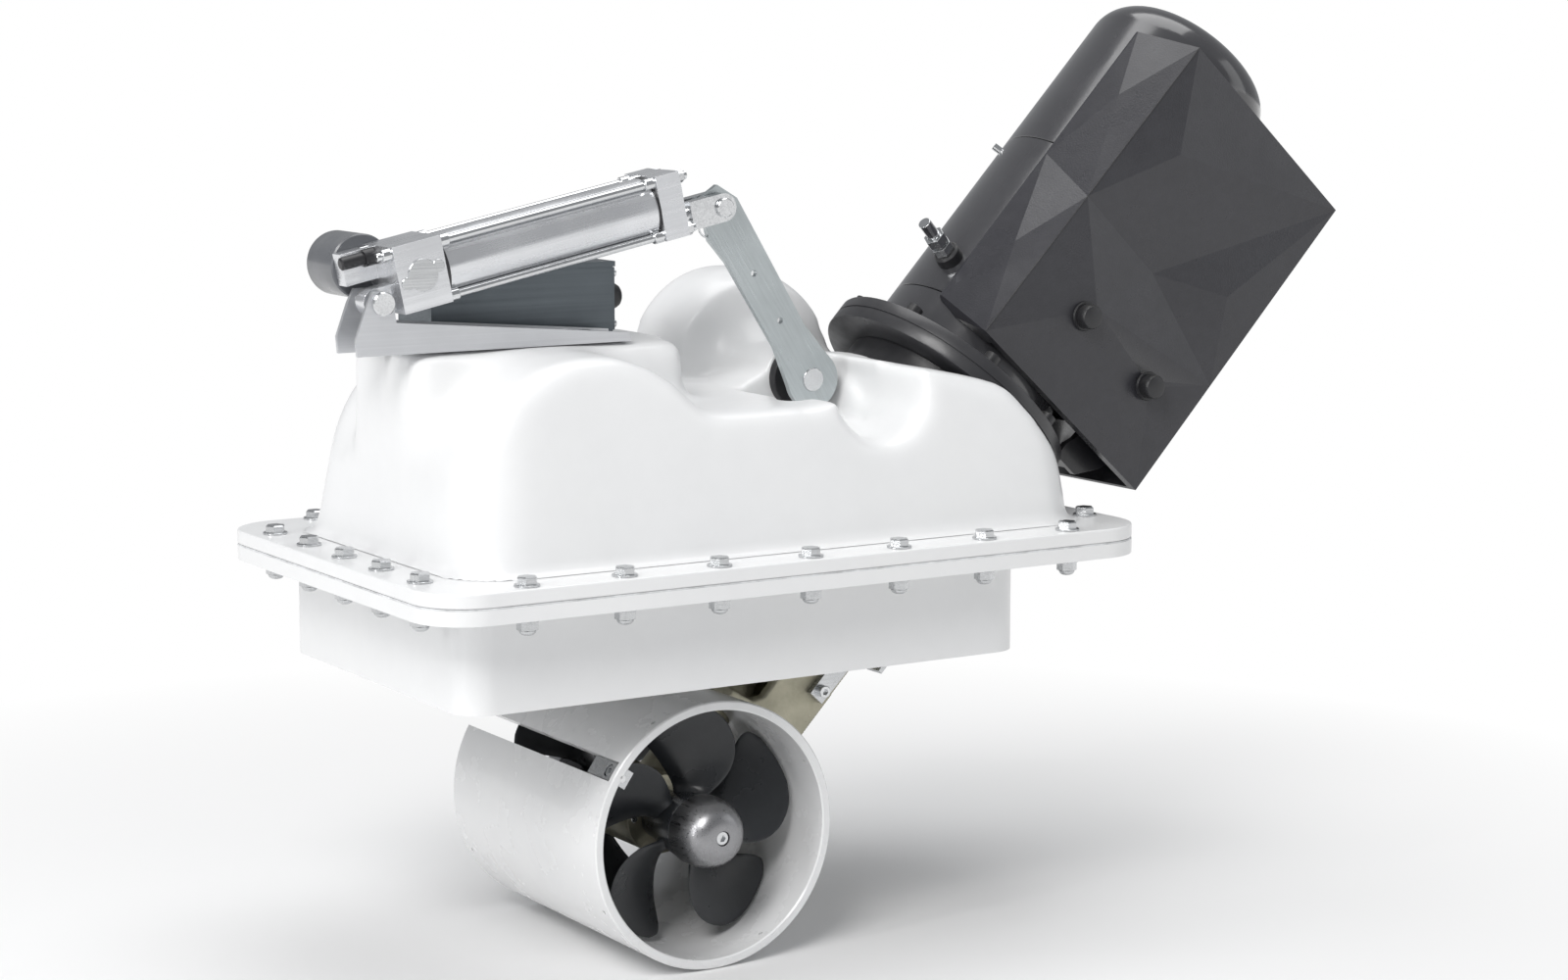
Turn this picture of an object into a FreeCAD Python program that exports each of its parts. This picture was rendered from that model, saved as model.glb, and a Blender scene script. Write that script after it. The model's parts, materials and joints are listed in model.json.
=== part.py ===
import FreeCAD, Part
import math
import os

os.makedirs("parts", exist_ok=True)

V = FreeCAD.Vector
UP = V(0, 0, 1)
Y = V(0, 1, 0)

# ---------------------------------------------------------------- driving dimensions, mm
# Row frame: origin at the centre of the hull opening, on the hull line. +X towards the motor,
# +Y to the back, +Z up into the hull.

# flanges and their bolts
FLANGE_X = 27.45            # centre of the flange along X
FLANGE_HALF = (298.3, 185.7)
FLANGE_CORNER = 40.6
FLANGE_T = 10.5
GASKET_T = 1.2
TOP_Z = 92.5                # top face of the upper flange
GASKET_TOP = TOP_Z - FLANGE_T
GASKET_BOTTOM = GASKET_TOP - GASKET_T
LOWER_FLANGE_Z = GASKET_BOTTOM - FLANGE_T
ROW_Y = 173.6
ROW_PITCH = 75.4
COLUMN_X = 281.0
COLUMN_PITCH = 61.25
BOLT_R = 4.0
BOLT_HOLE_R = 4.5

# trunk that is laminated into the hull
TRUNK_HALF = (233.25, 147.2)
TRUNK_WALL = 5.0
TRUNK_CORNER = 24.0

# moulded upper housing
WALL = 5.0
BASE_X = (-227.5, 295.5)
BASE_Y = 147.0
BASE_CORNER = 42.0
CROWN_Z = 245.0
CROWN_X = (-207.0, 290.0)
CROWN_Y = 117.5
ARCH = (-113.0, 107.5)      # axis of the arch over the stowed tunnel, X and Z
ARCH_R = 130.0
ARCH_SQUEEZE = 0.875        # the arch is a little narrower than it is high
TERRACE_Z = 192.5
SCOOP = (122.0, 201.0)
SCOOP_R = 38.0
DECK_Z = 237.7              # flat deck under the actuator
DECK_X = (-219.0, 8.0)
DECK_Y = (-45.0, 66.0)

# lever shaft
SHAFT = V(125.45, 0, 198.5)
SHAFT_R = 9.0
LEVER_Y = -20.0             # middle plane of the lever and the actuator
LEVER_T = 5.0
BUSH_R = 16.0
BELL_R = 78.0               # round swelling that holds the inner crank
BELL_Y = 99.0
BELL_BACK = 138.0
BOSS_Y = 2.0

# leg and its pivot
LEG_PIVOT = V(195.5, 0, 107.5)
LEG_ANGLE = 46.8            # from the horizontal, tunnel down; the leg swings up to the horizontal
LEG_LENGTH = 308.9
LINK_LEG_R = 63.0           # leg pivot to the link's lower pin
LINK_LEG_ANGLE = 253.0      # direction of that arm, tunnel down
LINK_CRANK_R = 56.589       # lever shaft to the link's upper pin
LINK_CRANK_ANGLE = 254.0
LINK_OPEN_GAP = 0.6         # play at the link's lower pin, where the loop is opened

# tunnel
TUNNEL_R = 99.4
TUNNEL_BORE_R = 92.5
TUNNEL_HALF = 113.6
SLOT = (140.6, 149.6)       # angles of the side slot

# motor
MOTOR_ANGLE = LEG_ANGLE     # motor and leg are in line with the tunnel down
SEAT_RISE = 63.4            # leg pivot to the motor seat
MOTOR_R = 79.0
SEAT_PAD_R = 92.0

# actuator
PIN_BACK = V(-238.0, LEVER_Y, 274.4)
PIN_FRONT = V(41.0, LEVER_Y, 331.9)
CASING_RISE = 12.5          # casing axis above the line through the two pins
CASING_R = 23.0
ROD_R = 8.0


# ---------------------------------------------------------------- small helpers
def save(name, shape):
    shape.exportStep("parts/" + name + ".step")


def box(x, y, z):
    return Part.makeBox(x[1] - x[0], y[1] - y[0], z[1] - z[0], V(x[0], y[0], z[0]))


def cylinder(base, axis, radius, length):
    return Part.makeCylinder(radius, length, base, axis)


def cross_rod(x, z, y, radius):
    return cylinder(V(x, y[0], z), Y, radius, y[1] - y[0])


def tube(base, axis, outer, inner, length):
    hole = cylinder(base - axis, axis, inner, length + 2)
    return cylinder(base, axis, outer, length).cut(hole)


def cross_ring(x, z, y, outer, inner):
    return tube(V(x, y[0], z), Y, outer, inner, y[1] - y[0])


def polygon_prism(points, y):
    """Extrude an outline given in X and Z from y[0] to y[1]."""
    wire = Part.makePolygon([V(p[0], y[0], p[1]) for p in points + points[:1]])
    return Part.Face(wire).extrude(V(0, y[1] - y[0], 0))


def rounded_wire(x, y, radius, z):
    """A rectangle with round corners, in the plane at height z."""
    corners = [(x[1], y[1], 0), (x[0], y[1], 90), (x[0], y[0], 180), (x[1], y[0], 270)]
    edges = []
    ends = []
    for cx, cy, start in corners:
        sx = -1 if cx == x[1] else 1
        sy = -1 if cy == y[1] else 1
        centre = V(cx + sx * radius, cy + sy * radius, z)
        arc = Part.Arc(*[centre + V(radius * math.cos(math.radians(start + a)),
                                    radius * math.sin(math.radians(start + a)), 0) for a in (0, 45, 90)])
        edges.append(arc.toShape())
        ends.append((arc.StartPoint, arc.EndPoint))
    for i in range(4):
        edges.append(Part.LineSegment(ends[i][1], ends[(i + 1) % 4][0]).toShape())
    return Part.Wire(Part.__sortEdges__(edges))


def rounded_box(x, y, radius, z):
    return Part.Face(rounded_wire(x, y, radius, z[0])).extrude(V(0, 0, z[1] - z[0]))


def along(angle):
    """Unit vector in the XZ plane at an angle above +X."""
    return V(math.cos(math.radians(angle)), 0, math.sin(math.radians(angle)))


def turned(shape, angle, origin):
    """Put a shape built along +X from the origin onto a sloping axis."""
    placed = shape.copy()
    placed.rotate(V(0, 0, 0), Y, -angle)
    placed.translate(origin)
    return placed


def revolve_x(outline):
    """Revolve an outline of (distance along X, radius) about +X."""
    points = [V(a, 0, r) for a, r in outline]
    wire = Part.makePolygon(points + points[:1])
    return Part.Face(wire).revolve(V(0, 0, 0), V(1, 0, 0), 360)


def hexagon(base, axis_z, flats, height):
    """Hexagonal prism standing on +Z or -Z."""
    r = flats / math.sqrt(3)
    points = [base + V(r * math.cos(math.radians(60 * i)), r * math.sin(math.radians(60 * i)), 0)
              for i in range(7)]
    return Part.Face(Part.makePolygon(points)).extrude(V(0, 0, axis_z * height))


def compound(shapes):
    return Part.makeCompound(shapes)


def bolt_centres():
    rows = [(FLANGE_X + i * ROW_PITCH, side * ROW_Y) for i in range(-3, 4) for side in (-1, 1)]
    columns = [(FLANGE_X + side * COLUMN_X, i * COLUMN_PITCH) for i in range(-2, 3) for side in (-1, 1)]
    return rows + columns


MOTOR_DIR = along(MOTOR_ANGLE)
LEG_DIR = along(LEG_ANGLE)
TUNNEL_C = LEG_PIVOT - LEG_DIR * LEG_LENGTH
MOTOR_SEAT = LEG_PIVOT + MOTOR_DIR * SEAT_RISE
PIN_REACH = (PIN_FRONT - PIN_BACK).Length
ROD_ANGLE = math.degrees(math.atan2(PIN_FRONT.z - PIN_BACK.z, PIN_FRONT.x - PIN_BACK.x))


# ---------------------------------------------------------------- hull trunk, gasket, bolts
def flange_plate(z):
    x = (FLANGE_X - FLANGE_HALF[0], FLANGE_X + FLANGE_HALF[0])
    y = (-FLANGE_HALF[1], FLANGE_HALF[1])
    return rounded_box(x, y, FLANGE_CORNER, z)


def bolt_holes(z):
    return compound([cylinder(V(x, y, z[0] - 1), UP, BOLT_HOLE_R, z[1] - z[0] + 2) for x, y in bolt_centres()])


def trunk_plan(inset, z):
    x = TRUNK_HALF[0] - inset
    y = TRUNK_HALF[1] - inset
    return rounded_box((-x, x), (-y, y), TRUNK_CORNER - inset, z)


def hull_trunk():
    walls = trunk_plan(0, (0, LOWER_FLANGE_Z + 1))
    flange = flange_plate((LOWER_FLANGE_Z, GASKET_BOTTOM))
    body = walls.fuse(flange).cut(trunk_plan(TRUNK_WALL, (-1, TOP_Z)))
    return body.cut(bolt_holes((LOWER_FLANGE_Z, GASKET_BOTTOM))).removeSplitter()


def flange_gasket():
    x = (FLANGE_X - FLANGE_HALF[0] + 0.3, FLANGE_X + FLANGE_HALF[0] - 0.3)
    y = (-FLANGE_HALF[1] + 0.3, FLANGE_HALF[1] - 0.3)
    sheet = rounded_box(x, y, FLANGE_CORNER - 0.3, (GASKET_BOTTOM, GASKET_TOP))
    inner = rounded_box((BASE_X[0] + 2, BASE_X[1] - 2), (-BASE_Y + 2, BASE_Y - 2), BASE_CORNER - 2,
                        (GASKET_BOTTOM - 1, GASKET_TOP + 1))
    return sheet.cut(inner).cut(bolt_holes((GASKET_BOTTOM, GASKET_TOP)))


def flange_bolt(x, y):
    washer = cylinder(V(x, y, TOP_Z), UP, 9.0, 1.6)
    head = hexagon(V(x, y, TOP_Z + 1.6), 1, 13.0, 5.3)
    shank = cylinder(V(x, y, LOWER_FLANGE_Z - 8.5), UP, BOLT_R, TOP_Z - LOWER_FLANGE_Z + 8.5)
    return washer.fuse(head).fuse(shank)


def flange_nut(x, y):
    top = LOWER_FLANGE_Z
    washer = cylinder(V(x, y, top - 1.6), UP, 8.5, 1.6)
    nut = hexagon(V(x, y, top - 1.6), -1, 13.0, 6.5)
    dome = Part.makeCone(6.3, 3.6, 3.2, V(x, y, top - 8.1), V(0, 0, -1))
    bore = cylinder(V(x, y, top - 8.9), UP, BOLT_R + 0.05, 10)
    return washer.fuse(nut).fuse(dome).cut(bore)


# ---------------------------------------------------------------- upper housing
def envelope(inset):
    """Tapered block with round corners that gives the walls their draft."""
    low = rounded_wire((BASE_X[0] + inset, BASE_X[1] - inset), (-BASE_Y + inset, BASE_Y - inset),
                       BASE_CORNER - inset, TOP_Z - FLANGE_T)
    high = rounded_wire((CROWN_X[0] + inset, CROWN_X[1] - inset), (-CROWN_Y + inset, CROWN_Y - inset),
                        BASE_CORNER - inset, CROWN_Z)
    return Part.makeLoft([low, high], True)


def side_profile(inset):
    """Arch, terrace and hump seen from the front, run from front to back."""
    low = TOP_Z - FLANGE_T
    hump = [(74.0, low), (74.0, TERRACE_Z - inset), (136.0, 220.0 - inset), (226.5, 201.0 - inset),
            (240.0 - inset * 0.6, 193.5 - inset * 0.8), (289.5 - inset * 0.8, 136.5 - inset * 0.6),
            (296.0 - inset, low)]
    depth = (-BASE_Y - 1, BASE_Y + 1)
    half = ARCH_R * ARCH_SQUEEZE - inset
    bow = [(ARCH[0] + half * math.cos(math.radians(a)), ARCH[1] + (ARCH_R - inset) * math.sin(math.radians(a)))
           for a in range(0, 181, 6)]
    arch = polygon_prism([(ARCH[0] + half, low)] + bow + [(ARCH[0] - half, low)], depth)
    terrace = box((-40.0, 80.0), depth, (low, TERRACE_Z - inset))
    body = arch.fuse(terrace).fuse(polygon_prism(hump, depth))
    reach = (-BASE_Y - 2, BOSS_Y + inset)
    scoop = cross_rod(SCOOP[0], SCOOP[1], reach, SCOOP_R + inset)
    scoop_mouth = box((SCOOP[0] - SCOOP_R - inset, SCOOP[0] + SCOOP_R * 0.4), reach, (SCOOP[1], CROWN_Z))
    return body.cut(scoop).cut(scoop_mouth)


def shaft_swelling(inset):
    """Trumpet-shaped swelling round the lever shaft, revolved about the shaft."""
    front = BOSS_Y if inset == 0 else 62.0
    back = BELL_BACK - inset
    big = BELL_R - inset
    reach = math.sqrt(big ** 2 - (BELL_Y - 62.0) ** 2)
    edges = []
    if inset == 0:
        path = [(front, 26.0), (front + 12.0, 27.5)]
        edges.append(Part.LineSegment(V(0, path[0][0], 0), V(path[0][1], path[0][0], 0)).toShape())
        edges.append(Part.LineSegment(V(26.0, front, 0), V(27.5, front + 12.0, 0)).toShape())
        edges.append(Part.Arc(V(27.5, front + 12.0, 0), V(38.0, 44.0, 0), V(reach, 62.0, 0)).toShape())
    else:
        edges.append(Part.LineSegment(V(0, 62.0, 0), V(reach, 62.0, 0)).toShape())
    middle = math.sqrt(big ** 2 - (BELL_Y - 80.0) ** 2)
    edges.append(Part.Arc(V(reach, 62.0, 0), V(middle, 80.0, 0), V(big, BELL_Y, 0)).toShape())
    edges.append(Part.LineSegment(V(big, BELL_Y, 0), V(big, back - 20.0, 0)).toShape())
    edges.append(Part.Arc(V(big, back - 20.0, 0), V(big - 6.0, back - 6.0, 0), V(big - 20.0, back, 0)).toShape())
    edges.append(Part.LineSegment(V(big - 20.0, back, 0), V(0, back, 0)).toShape())
    edges.append(Part.LineSegment(V(0, back, 0), V(0, front, 0)).toShape())
    solid = Part.Face(Part.Wire(edges)).revolve(V(0, 0, 0), Y, 360)
    solid.translate(V(SHAFT.x, 0, SHAFT.z))
    return solid


def deck(inset):
    """Raised flat block that carries the actuator bracket and the control box."""
    low = rounded_wire((DECK_X[0] + inset, DECK_X[1] - inset), (DECK_Y[0] + inset, DECK_Y[1] - inset),
                       12.0, TOP_Z + 20.0)
    high = rounded_wire((DECK_X[0] + inset + 3.0, DECK_X[1] - inset - 4.0),
                        (DECK_Y[0] + inset, DECK_Y[1] - inset), 12.0, DECK_Z - inset)
    return Part.makeLoft([low, high], True)


def seat_space(grow):
    """Room above the motor seat: a stepped round well that runs out at the low end of the slope."""
    space = None
    for radius, floor in ((SEAT_PAD_R - 6.0, 0.0), (112.0, 17.0)):
        step = cylinder(V(floor - grow, 0, 0), V(1, 0, 0), radius + grow, 170.0)
        trough = box((floor - grow, 160.0), (-radius - grow, radius + grow), (-170.0, 0))
        step = step.fuse(trough)
        space = step if space is None else space.fuse(step)
    return turned(space, MOTOR_ANGLE, MOTOR_SEAT)


def lever_pocket(grow):
    outline = [(82.0 - grow, 168.0 - grow), (150.0 + grow, 168.0 - grow), (164.0 + grow, 250.0),
               (164.0 + grow, 300.0), (-10.0, 300.0), (-10.0, 250.0), (60.0 - grow, 215.0)]
    return polygon_prism(outline, (-82.0 - grow, BOSS_Y + grow))


def housing_form(inset):
    pad = turned(cylinder(V(-70.0, 0, 0), V(1, 0, 0), SEAT_PAD_R - inset, 70.0 - inset),
                 MOTOR_ANGLE, MOTOR_SEAT)
    body = side_profile(inset).common(envelope(inset))
    body = body.fuse(deck(inset)).fuse(pad.common(envelope(inset)))
    body = body.cut(lever_pocket(inset))
    body = body.fuse(shaft_swelling(inset))
    return body.cut(seat_space(inset)).removeSplitter()


def upper_housing():
    outer = housing_form(0)
    inner = housing_form(WALL)
    flange = flange_plate((GASKET_TOP, TOP_Z))
    keep = box((-400, 500), (-300, 300), (GASKET_TOP, 400))
    boss = cross_rod(SHAFT.x, SHAFT.z, (BOSS_Y, 66.0), 26.0)
    shell = outer.common(keep).fuse(flange).cut(inner).fuse(boss)
    shell = shell.cut(cross_rod(SHAFT.x, SHAFT.z, (-1, 90.0), BUSH_R))
    shell = shell.cut(bolt_holes((GASKET_TOP, TOP_Z)))
    shell = shell.cut(turned(cylinder(V(-30, 0, 0), V(1, 0, 0), 30.0, 60), MOTOR_ANGLE, MOTOR_SEAT))
    return shell.removeSplitter()


# ---------------------------------------------------------------- tunnel
def tunnel():
    c = TUNNEL_C
    y = (-TUNNEL_HALF, TUNNEL_HALF)
    body = cross_ring(c.x, c.z, y, TUNNEL_R, TUNNEL_BORE_R)
    slot = [(0.0, 0.0)]
    for angle in (SLOT[0], SLOT[1]):
        slot.append((130.0 * math.cos(math.radians(angle)), 130.0 * math.sin(math.radians(angle))))
    cutter = polygon_prism([(c.x + p[0], c.z + p[1]) for p in slot], (-TUNNEL_HALF + 5.0, TUNNEL_HALF + 1))
    body = body.cut(cutter)
    stop = cross_rod(c.x + TUNNEL_BORE_R * math.cos(math.radians(146.0)),
                     c.z + TUNNEL_BORE_R * math.sin(math.radians(146.0)),
                     (-TUNNEL_HALF, -TUNNEL_HALF + 5.0), 3.0)
    body = body.fuse(stop)
    body = body.cut(cylinder(c, LEG_DIR, LEG_TUBE_R + 0.6, 130.0))
    for angle in (28.0, 118.0, 208.0, 298.0):
        for side in (-1, 1):
            base = V(c.x, side * 105.0, c.z)
            body = body.cut(cylinder(base, along(angle), 1.8, 120.0))
    return body


def clamp_block():
    """Steel block in the slot's closed end, with its socket screw beside it."""
    block = box((TUNNEL_BORE_R - 9.0, TUNNEL_R - 2.0), (-TUNNEL_HALF + 6.0, -TUNNEL_HALF + 40.0), (-6.8, 6.8))
    bore = cylinder(V(60.0, -TUNNEL_HALF + 15.0, 0), V(1, 0, 0), 2.6, 60.0)
    counter = cylinder(V(TUNNEL_R - 6.0, -TUNNEL_HALF + 15.0, 0), V(1, 0, 0), 5.0, 20.0)
    return turned(block.cut(bore).cut(counter), 145.1, TUNNEL_C)


# ---------------------------------------------------------------- leg
LEG_TUBE_R = 18.0
LEG_SHAFT_R = 7.0
CHEEK_Y = (28.0, 38.0)      # fork cheeks of the leg
BRACKET_Y = (40.0, 50.0)    # cheeks of the fixed pivot bracket
PIVOT_PIN_R = 8.0
GEARCASE_R = 30.0
GEARCASE_HALF = 34.0


CHEEK_EDGE = -58.0          # straight outer edge of the leg, parallel to its axis
STEM_END = 214.0


def leg_local(angle, radius):
    """A point at a given direction from the leg pivot, as (along the leg, across it)."""
    turn = math.radians(angle - LEG_ANGLE)
    return LEG_LENGTH + radius * math.cos(turn), radius * math.sin(turn)


def leg_cheek(side):
    """Side plate of the leg, in leg axes: X runs up the leg, Z across it."""
    y0 = CHEEK_Y[0] if side > 0 else -CHEEK_Y[1]
    y = (y0, y0 + CHEEK_Y[1] - CHEEK_Y[0])
    outline = [(80.0, CHEEK_EDGE), (80.0, 18.0), (106.0, 16.0), (110.0, -3.0), (118.0, -10.0),
               (150.0, -10.0), (176.0, 14.0), (STEM_END + 8.0, 24.0), (LEG_LENGTH, 17.0),
               (LEG_LENGTH, -17.0), (250.0, -49.0), (232.0, CHEEK_EDGE)]
    plate = polygon_prism(outline, y)
    plate = plate.fuse(cross_rod(LEG_LENGTH, 0, y, 17.0))
    pin = leg_local(LINK_LEG_ANGLE, LINK_LEG_R)
    plate = plate.fuse(cross_rod(pin[0], pin[1], y, 15.0))
    plate = plate.cut(cross_rod(LEG_LENGTH, 0, (-200, 200), PIVOT_PIN_R + 0.05))
    return plate, pin


def leg_casting():
    """Bronze leg: drive tube, two cheeks that make the upper fork, and the webs between them."""
    along_leg = V(1, 0, 0)
    stem = cylinder(V(GEARCASE_R - 6.0, 0, 0), along_leg, LEG_TUBE_R, STEM_END - GEARCASE_R + 6.0)
    foot = Part.makeCone(34.0, LEG_TUBE_R, 26.0, V(98.0, 0, 0), along_leg)
    web = box((70.0, 236.0), (-CHEEK_Y[0], CHEEK_Y[0]), (CHEEK_EDGE, CHEEK_EDGE + 7.0))
    yoke = box((STEM_END - 36.0, STEM_END), (-CHEEK_Y[0], CHEEK_Y[0]), (-22.0, 16.0))
    saddle = box((80.0, 108.0), (-CHEEK_Y[0], CHEEK_Y[0]), (CHEEK_EDGE, 16.0))
    casting = foot.fuse(web).fuse(yoke).fuse(saddle)
    for side in (-1, 1):
        plate, pin = leg_cheek(side)
        casting = casting.fuse(plate)
    casting = casting.cut(cross_rod(0, 0, (-200, 200), TUNNEL_R + 0.2)).fuse(stem)
    casting = casting.cut(cylinder(V(0, 0, 0), along_leg, 12.5, 260.0))
    casting = casting.cut(cross_rod(0, 0, (-GEARCASE_HALF, GEARCASE_HALF), GEARCASE_R - 4.0))
    casting = casting.cut(cross_rod(pin[0], pin[1], (-CHEEK_Y[1] - 1, CHEEK_Y[1] + 1), 6.0))
    case = cross_rod(0, 0, (-GEARCASE_HALF, GEARCASE_HALF), GEARCASE_R)
    case = case.cut(cross_rod(0, 0, (-GEARCASE_HALF - 1, GEARCASE_HALF + 1), GEARCASE_R - 4.0))
    case = case.cut(cylinder(V(0, 0, 0), along_leg, 12.5, 60.0))
    casting = casting.fuse(case)
    for s in (128.0, 196.0):
        casting = casting.cut(cylinder(V(s, 0, CHEEK_EDGE - 1.0), UP, 2.5, 9.0))
        for side in (-1, 1):
            casting = casting.cut(cylinder(V(s, side * 18.0, CHEEK_EDGE - 1.0), UP, 2.5, 9.0))
    for s in STRAP_SCREWS:
        casting = casting.cut(cross_rod(s, STRAP_Z, (-CHEEK_Y[1] - 1, CHEEK_Y[1] + 1), 3.0).common(
            box((0, 400), (-60, -CHEEK_Y[0]), (-100, 0)).fuse(box((0, 400), (CHEEK_Y[0], 60), (-100, 0)))))
    return turned(casting.removeSplitter(), LEG_ANGLE, TUNNEL_C)


def gearcase_cap(side):
    """Bearing carrier that closes one end of the gearcase."""
    start = side * GEARCASE_HALF
    plug = tube(V(0, start - side * 14.0, 0), Y * side, GEARCASE_R - 4.05, PROP_SHAFT_R + 0.05, 14.0)
    lip = tube(V(0, start, 0), Y * side, GEARCASE_R, PROP_SHAFT_R + 0.05, 2.5)
    return turned(plug.fuse(lip), LEG_ANGLE, TUNNEL_C)


def leg_bearing(s):
    ring = tube(V(s, 0, 0), V(1, 0, 0), 12.5, LEG_SHAFT_R + 0.05, 9.0)
    return turned(ring, LEG_ANGLE, TUNNEL_C)


STRAP_SCREWS = (151.4, 205.0)
STRAP_Z = -45.0
STRAP_T = 5.0


def side_strap(side):
    """Stainless strap on the outside of a cheek; its ears stand past the edge to take the closing panel."""
    y0 = CHEEK_Y[1] + 0.3
    outline = [(144.0, -52.0), (144.0, -38.0), (213.0, -38.0), (213.0, -66.0), (199.0, -66.0), (197.0, -54.0)]
    strap = polygon_prism(outline, (y0, y0 + STRAP_T))
    ear = box((190.0, 213.0), (y0, y0 + 20.0), (-70.0, -66.0))
    strap = strap.fuse(ear).cut(cylinder(V(201.5, y0 + 12.5, -80.0), UP, 3.3, 20.0))
    for s in STRAP_SCREWS:
        strap = strap.cut(cross_rod(s, STRAP_Z, (0, 100), 3.05))
    if side < 0:
        strap = strap.mirror(V(0, 0, 0), Y)
    return turned(strap, LEG_ANGLE, TUNNEL_C)


# ---------------------------------------------------------------- bevel gears and propellers
GEAR_MODULE = 2.0
PINION_TEETH = 11
CROWN_TEETH = 22
PROP_SHAFT_R = 6.0
GEAR_FACE = 9.0
TOOTH_PLAY = 0.35


def bevel_gear(teeth, mate_teeth, bore, hub_depth, first_angle):
    """Straight bevel gear about +X with its cone tip at the origin and its big end towards +X."""
    cone = math.atan2(teeth, mate_teeth)
    pitch_r = GEAR_MODULE * teeth / 2.0
    reach = pitch_r / math.sin(cone)
    add = 0.72 * GEAR_MODULE
    ded = 1.0 * GEAR_MODULE
    inner = (reach - GEAR_FACE) / reach

    def cone_point(distance, height):
        x = distance * math.cos(cone) - height * math.sin(cone)
        r = distance * math.sin(cone) + height * math.cos(cone)
        return x, r

    x_out, r_out = cone_point(reach, -ded)
    x_in, r_in = cone_point(reach * inner, -ded * inner)
    blank = revolve_x([(x_in, 0.0), (x_in, r_in), (x_out, r_out), (x_out + hub_depth, r_out * 0.8),
                       (x_out + hub_depth, 0.0)])
    half = math.pi * GEAR_MODULE / 4.0 - TOOTH_PLAY
    slope = math.tan(math.radians(20.0))
    profile = [(-half - (ded + 0.3) * slope, -ded - 0.3), (-half + add * slope, add),
               (half - add * slope, add), (half + (ded + 0.3) * slope, -ded - 0.3)]
    wires = []
    for scale in (1.0, inner):
        points = []
        for width, height in profile:
            x, r = cone_point(reach * scale, height * scale)
            points.append(V(x, width * scale, r))
        wires.append(Part.makePolygon(points + points[:1]))
    tooth = Part.makeLoft(wires, True, True)
    gear = blank
    for i in range(teeth):
        copy = tooth.copy()
        copy.rotate(V(0, 0, 0), V(1, 0, 0), first_angle + 360.0 * i / teeth)
        gear = gear.fuse(copy)
    return gear.cut(cylinder(V(-50, 0, 0), V(1, 0, 0), bore, 100.0))


def pinion():
    gear = bevel_gear(PINION_TEETH, CROWN_TEETH, LEG_SHAFT_R - 2.0, 3.0, 90.0)
    return turned(gear, LEG_ANGLE, TUNNEL_C)


def crown_gear(side):
    """Crown gear on the front (-1) or back (+1) propeller shaft."""
    half_tooth = 180.0 / CROWN_TEETH
    gear = bevel_gear(CROWN_TEETH, PINION_TEETH, PROP_SHAFT_R, 3.0, 0.0)
    gear.rotate(V(0, 0, 0), V(1, 0, 0), 90.0 + (half_tooth if side < 0 else 0.0))
    gear.rotate(V(0, 0, 0), UP, side * 90.0)
    return turned(gear, LEG_ANGLE, TUNNEL_C)


BLADES = 5
PITCH = 190.0
BLADE_SECTIONS = [          # radius, half chord, sweep of the middle line in degrees, thickness
    (17.0, 12.0, 0.0, 7.0),
    (27.0, 15.5, 0.4, 6.2),
    (38.0, 24.0, 1.8, 5.4),
    (50.0, 31.0, 4.8, 4.6),
    (62.0, 34.5, 8.8, 3.9),
    (73.0, 33.0, 13.4, 3.2),
    (81.0, 27.0, 17.8, 2.7),
    (86.5, 18.0, 21.5, 2.2),
    (89.3, 8.0, 24.0, 1.6),
]
SECTION_POINTS = 14
HUB_Y = (37.5, 90.0)
HUB_R = (19.0, 26.0)
BLADE_Y = 66.0


def blade_section(radius, half_chord, sweep, thickness):
    """Ring of points of one blade section, wrapped on a cylinder about the shaft."""
    pitch = math.atan2(PITCH, 2 * math.pi * radius)
    points = []
    for i in range(SECTION_POINTS):
        turn = 2 * math.pi * i / SECTION_POINTS
        chord = half_chord * math.cos(turn)
        across = thickness / 2 * math.sin(turn)
        polar = math.radians(sweep) + (chord * math.cos(pitch) - across * math.sin(pitch)) / radius
        back = chord * math.sin(pitch) + across * math.cos(pitch)
        points.append(V(radius * math.cos(polar), back - BLADE_Y, radius * math.sin(polar)))
    return points


def blade():
    """One skewed blade, skinned through its sections."""
    rings = [blade_section(*section) for section in BLADE_SECTIONS]
    faces = []

    def facet(*points):
        faces.append(Part.Face(Part.makePolygon(list(points) + [points[0]])))

    n = SECTION_POINTS
    for low, high in zip(rings, rings[1:]):
        for i in range(n):
            j = (i + 1) % n
            facet(low[i], low[j], high[j])
            facet(low[i], high[j], high[i])
    for ring in (rings[0], rings[-1]):
        middle = sum(ring, V(0, 0, 0)) * (1.0 / n)
        for i in range(n):
            facet(ring[i], ring[(i + 1) % n], middle)
    shell = Part.makeShell(faces)
    shell.sewShape()
    solid = Part.makeSolid(shell)
    if solid.Volume < 0:
        solid.reverse()
    return solid


def propeller(side, phase):
    """Propeller about Y. side -1 is the front one; the back one is its mirror image."""
    hub = Part.makeCone(HUB_R[1], HUB_R[0], HUB_Y[1] - HUB_Y[0], V(0, -HUB_Y[1], 0), Y)
    first = blade()
    blades = []
    for i in range(BLADES):
        copy = first.copy()
        copy.rotate(V(0, 0, 0), Y, -phase - 360.0 * i / BLADES)
        blades.append(copy)
    wheel = hub.multiFuse(blades)
    wheel = wheel.cut(cross_rod(0, 0, (-HUB_Y[1] - 1, -HUB_Y[0] + 1), PROP_SHAFT_R))
    if side > 0:
        wheel = wheel.mirror(V(0, 0, 0), Y)
    wheel.translate(TUNNEL_C)
    return wheel


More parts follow.
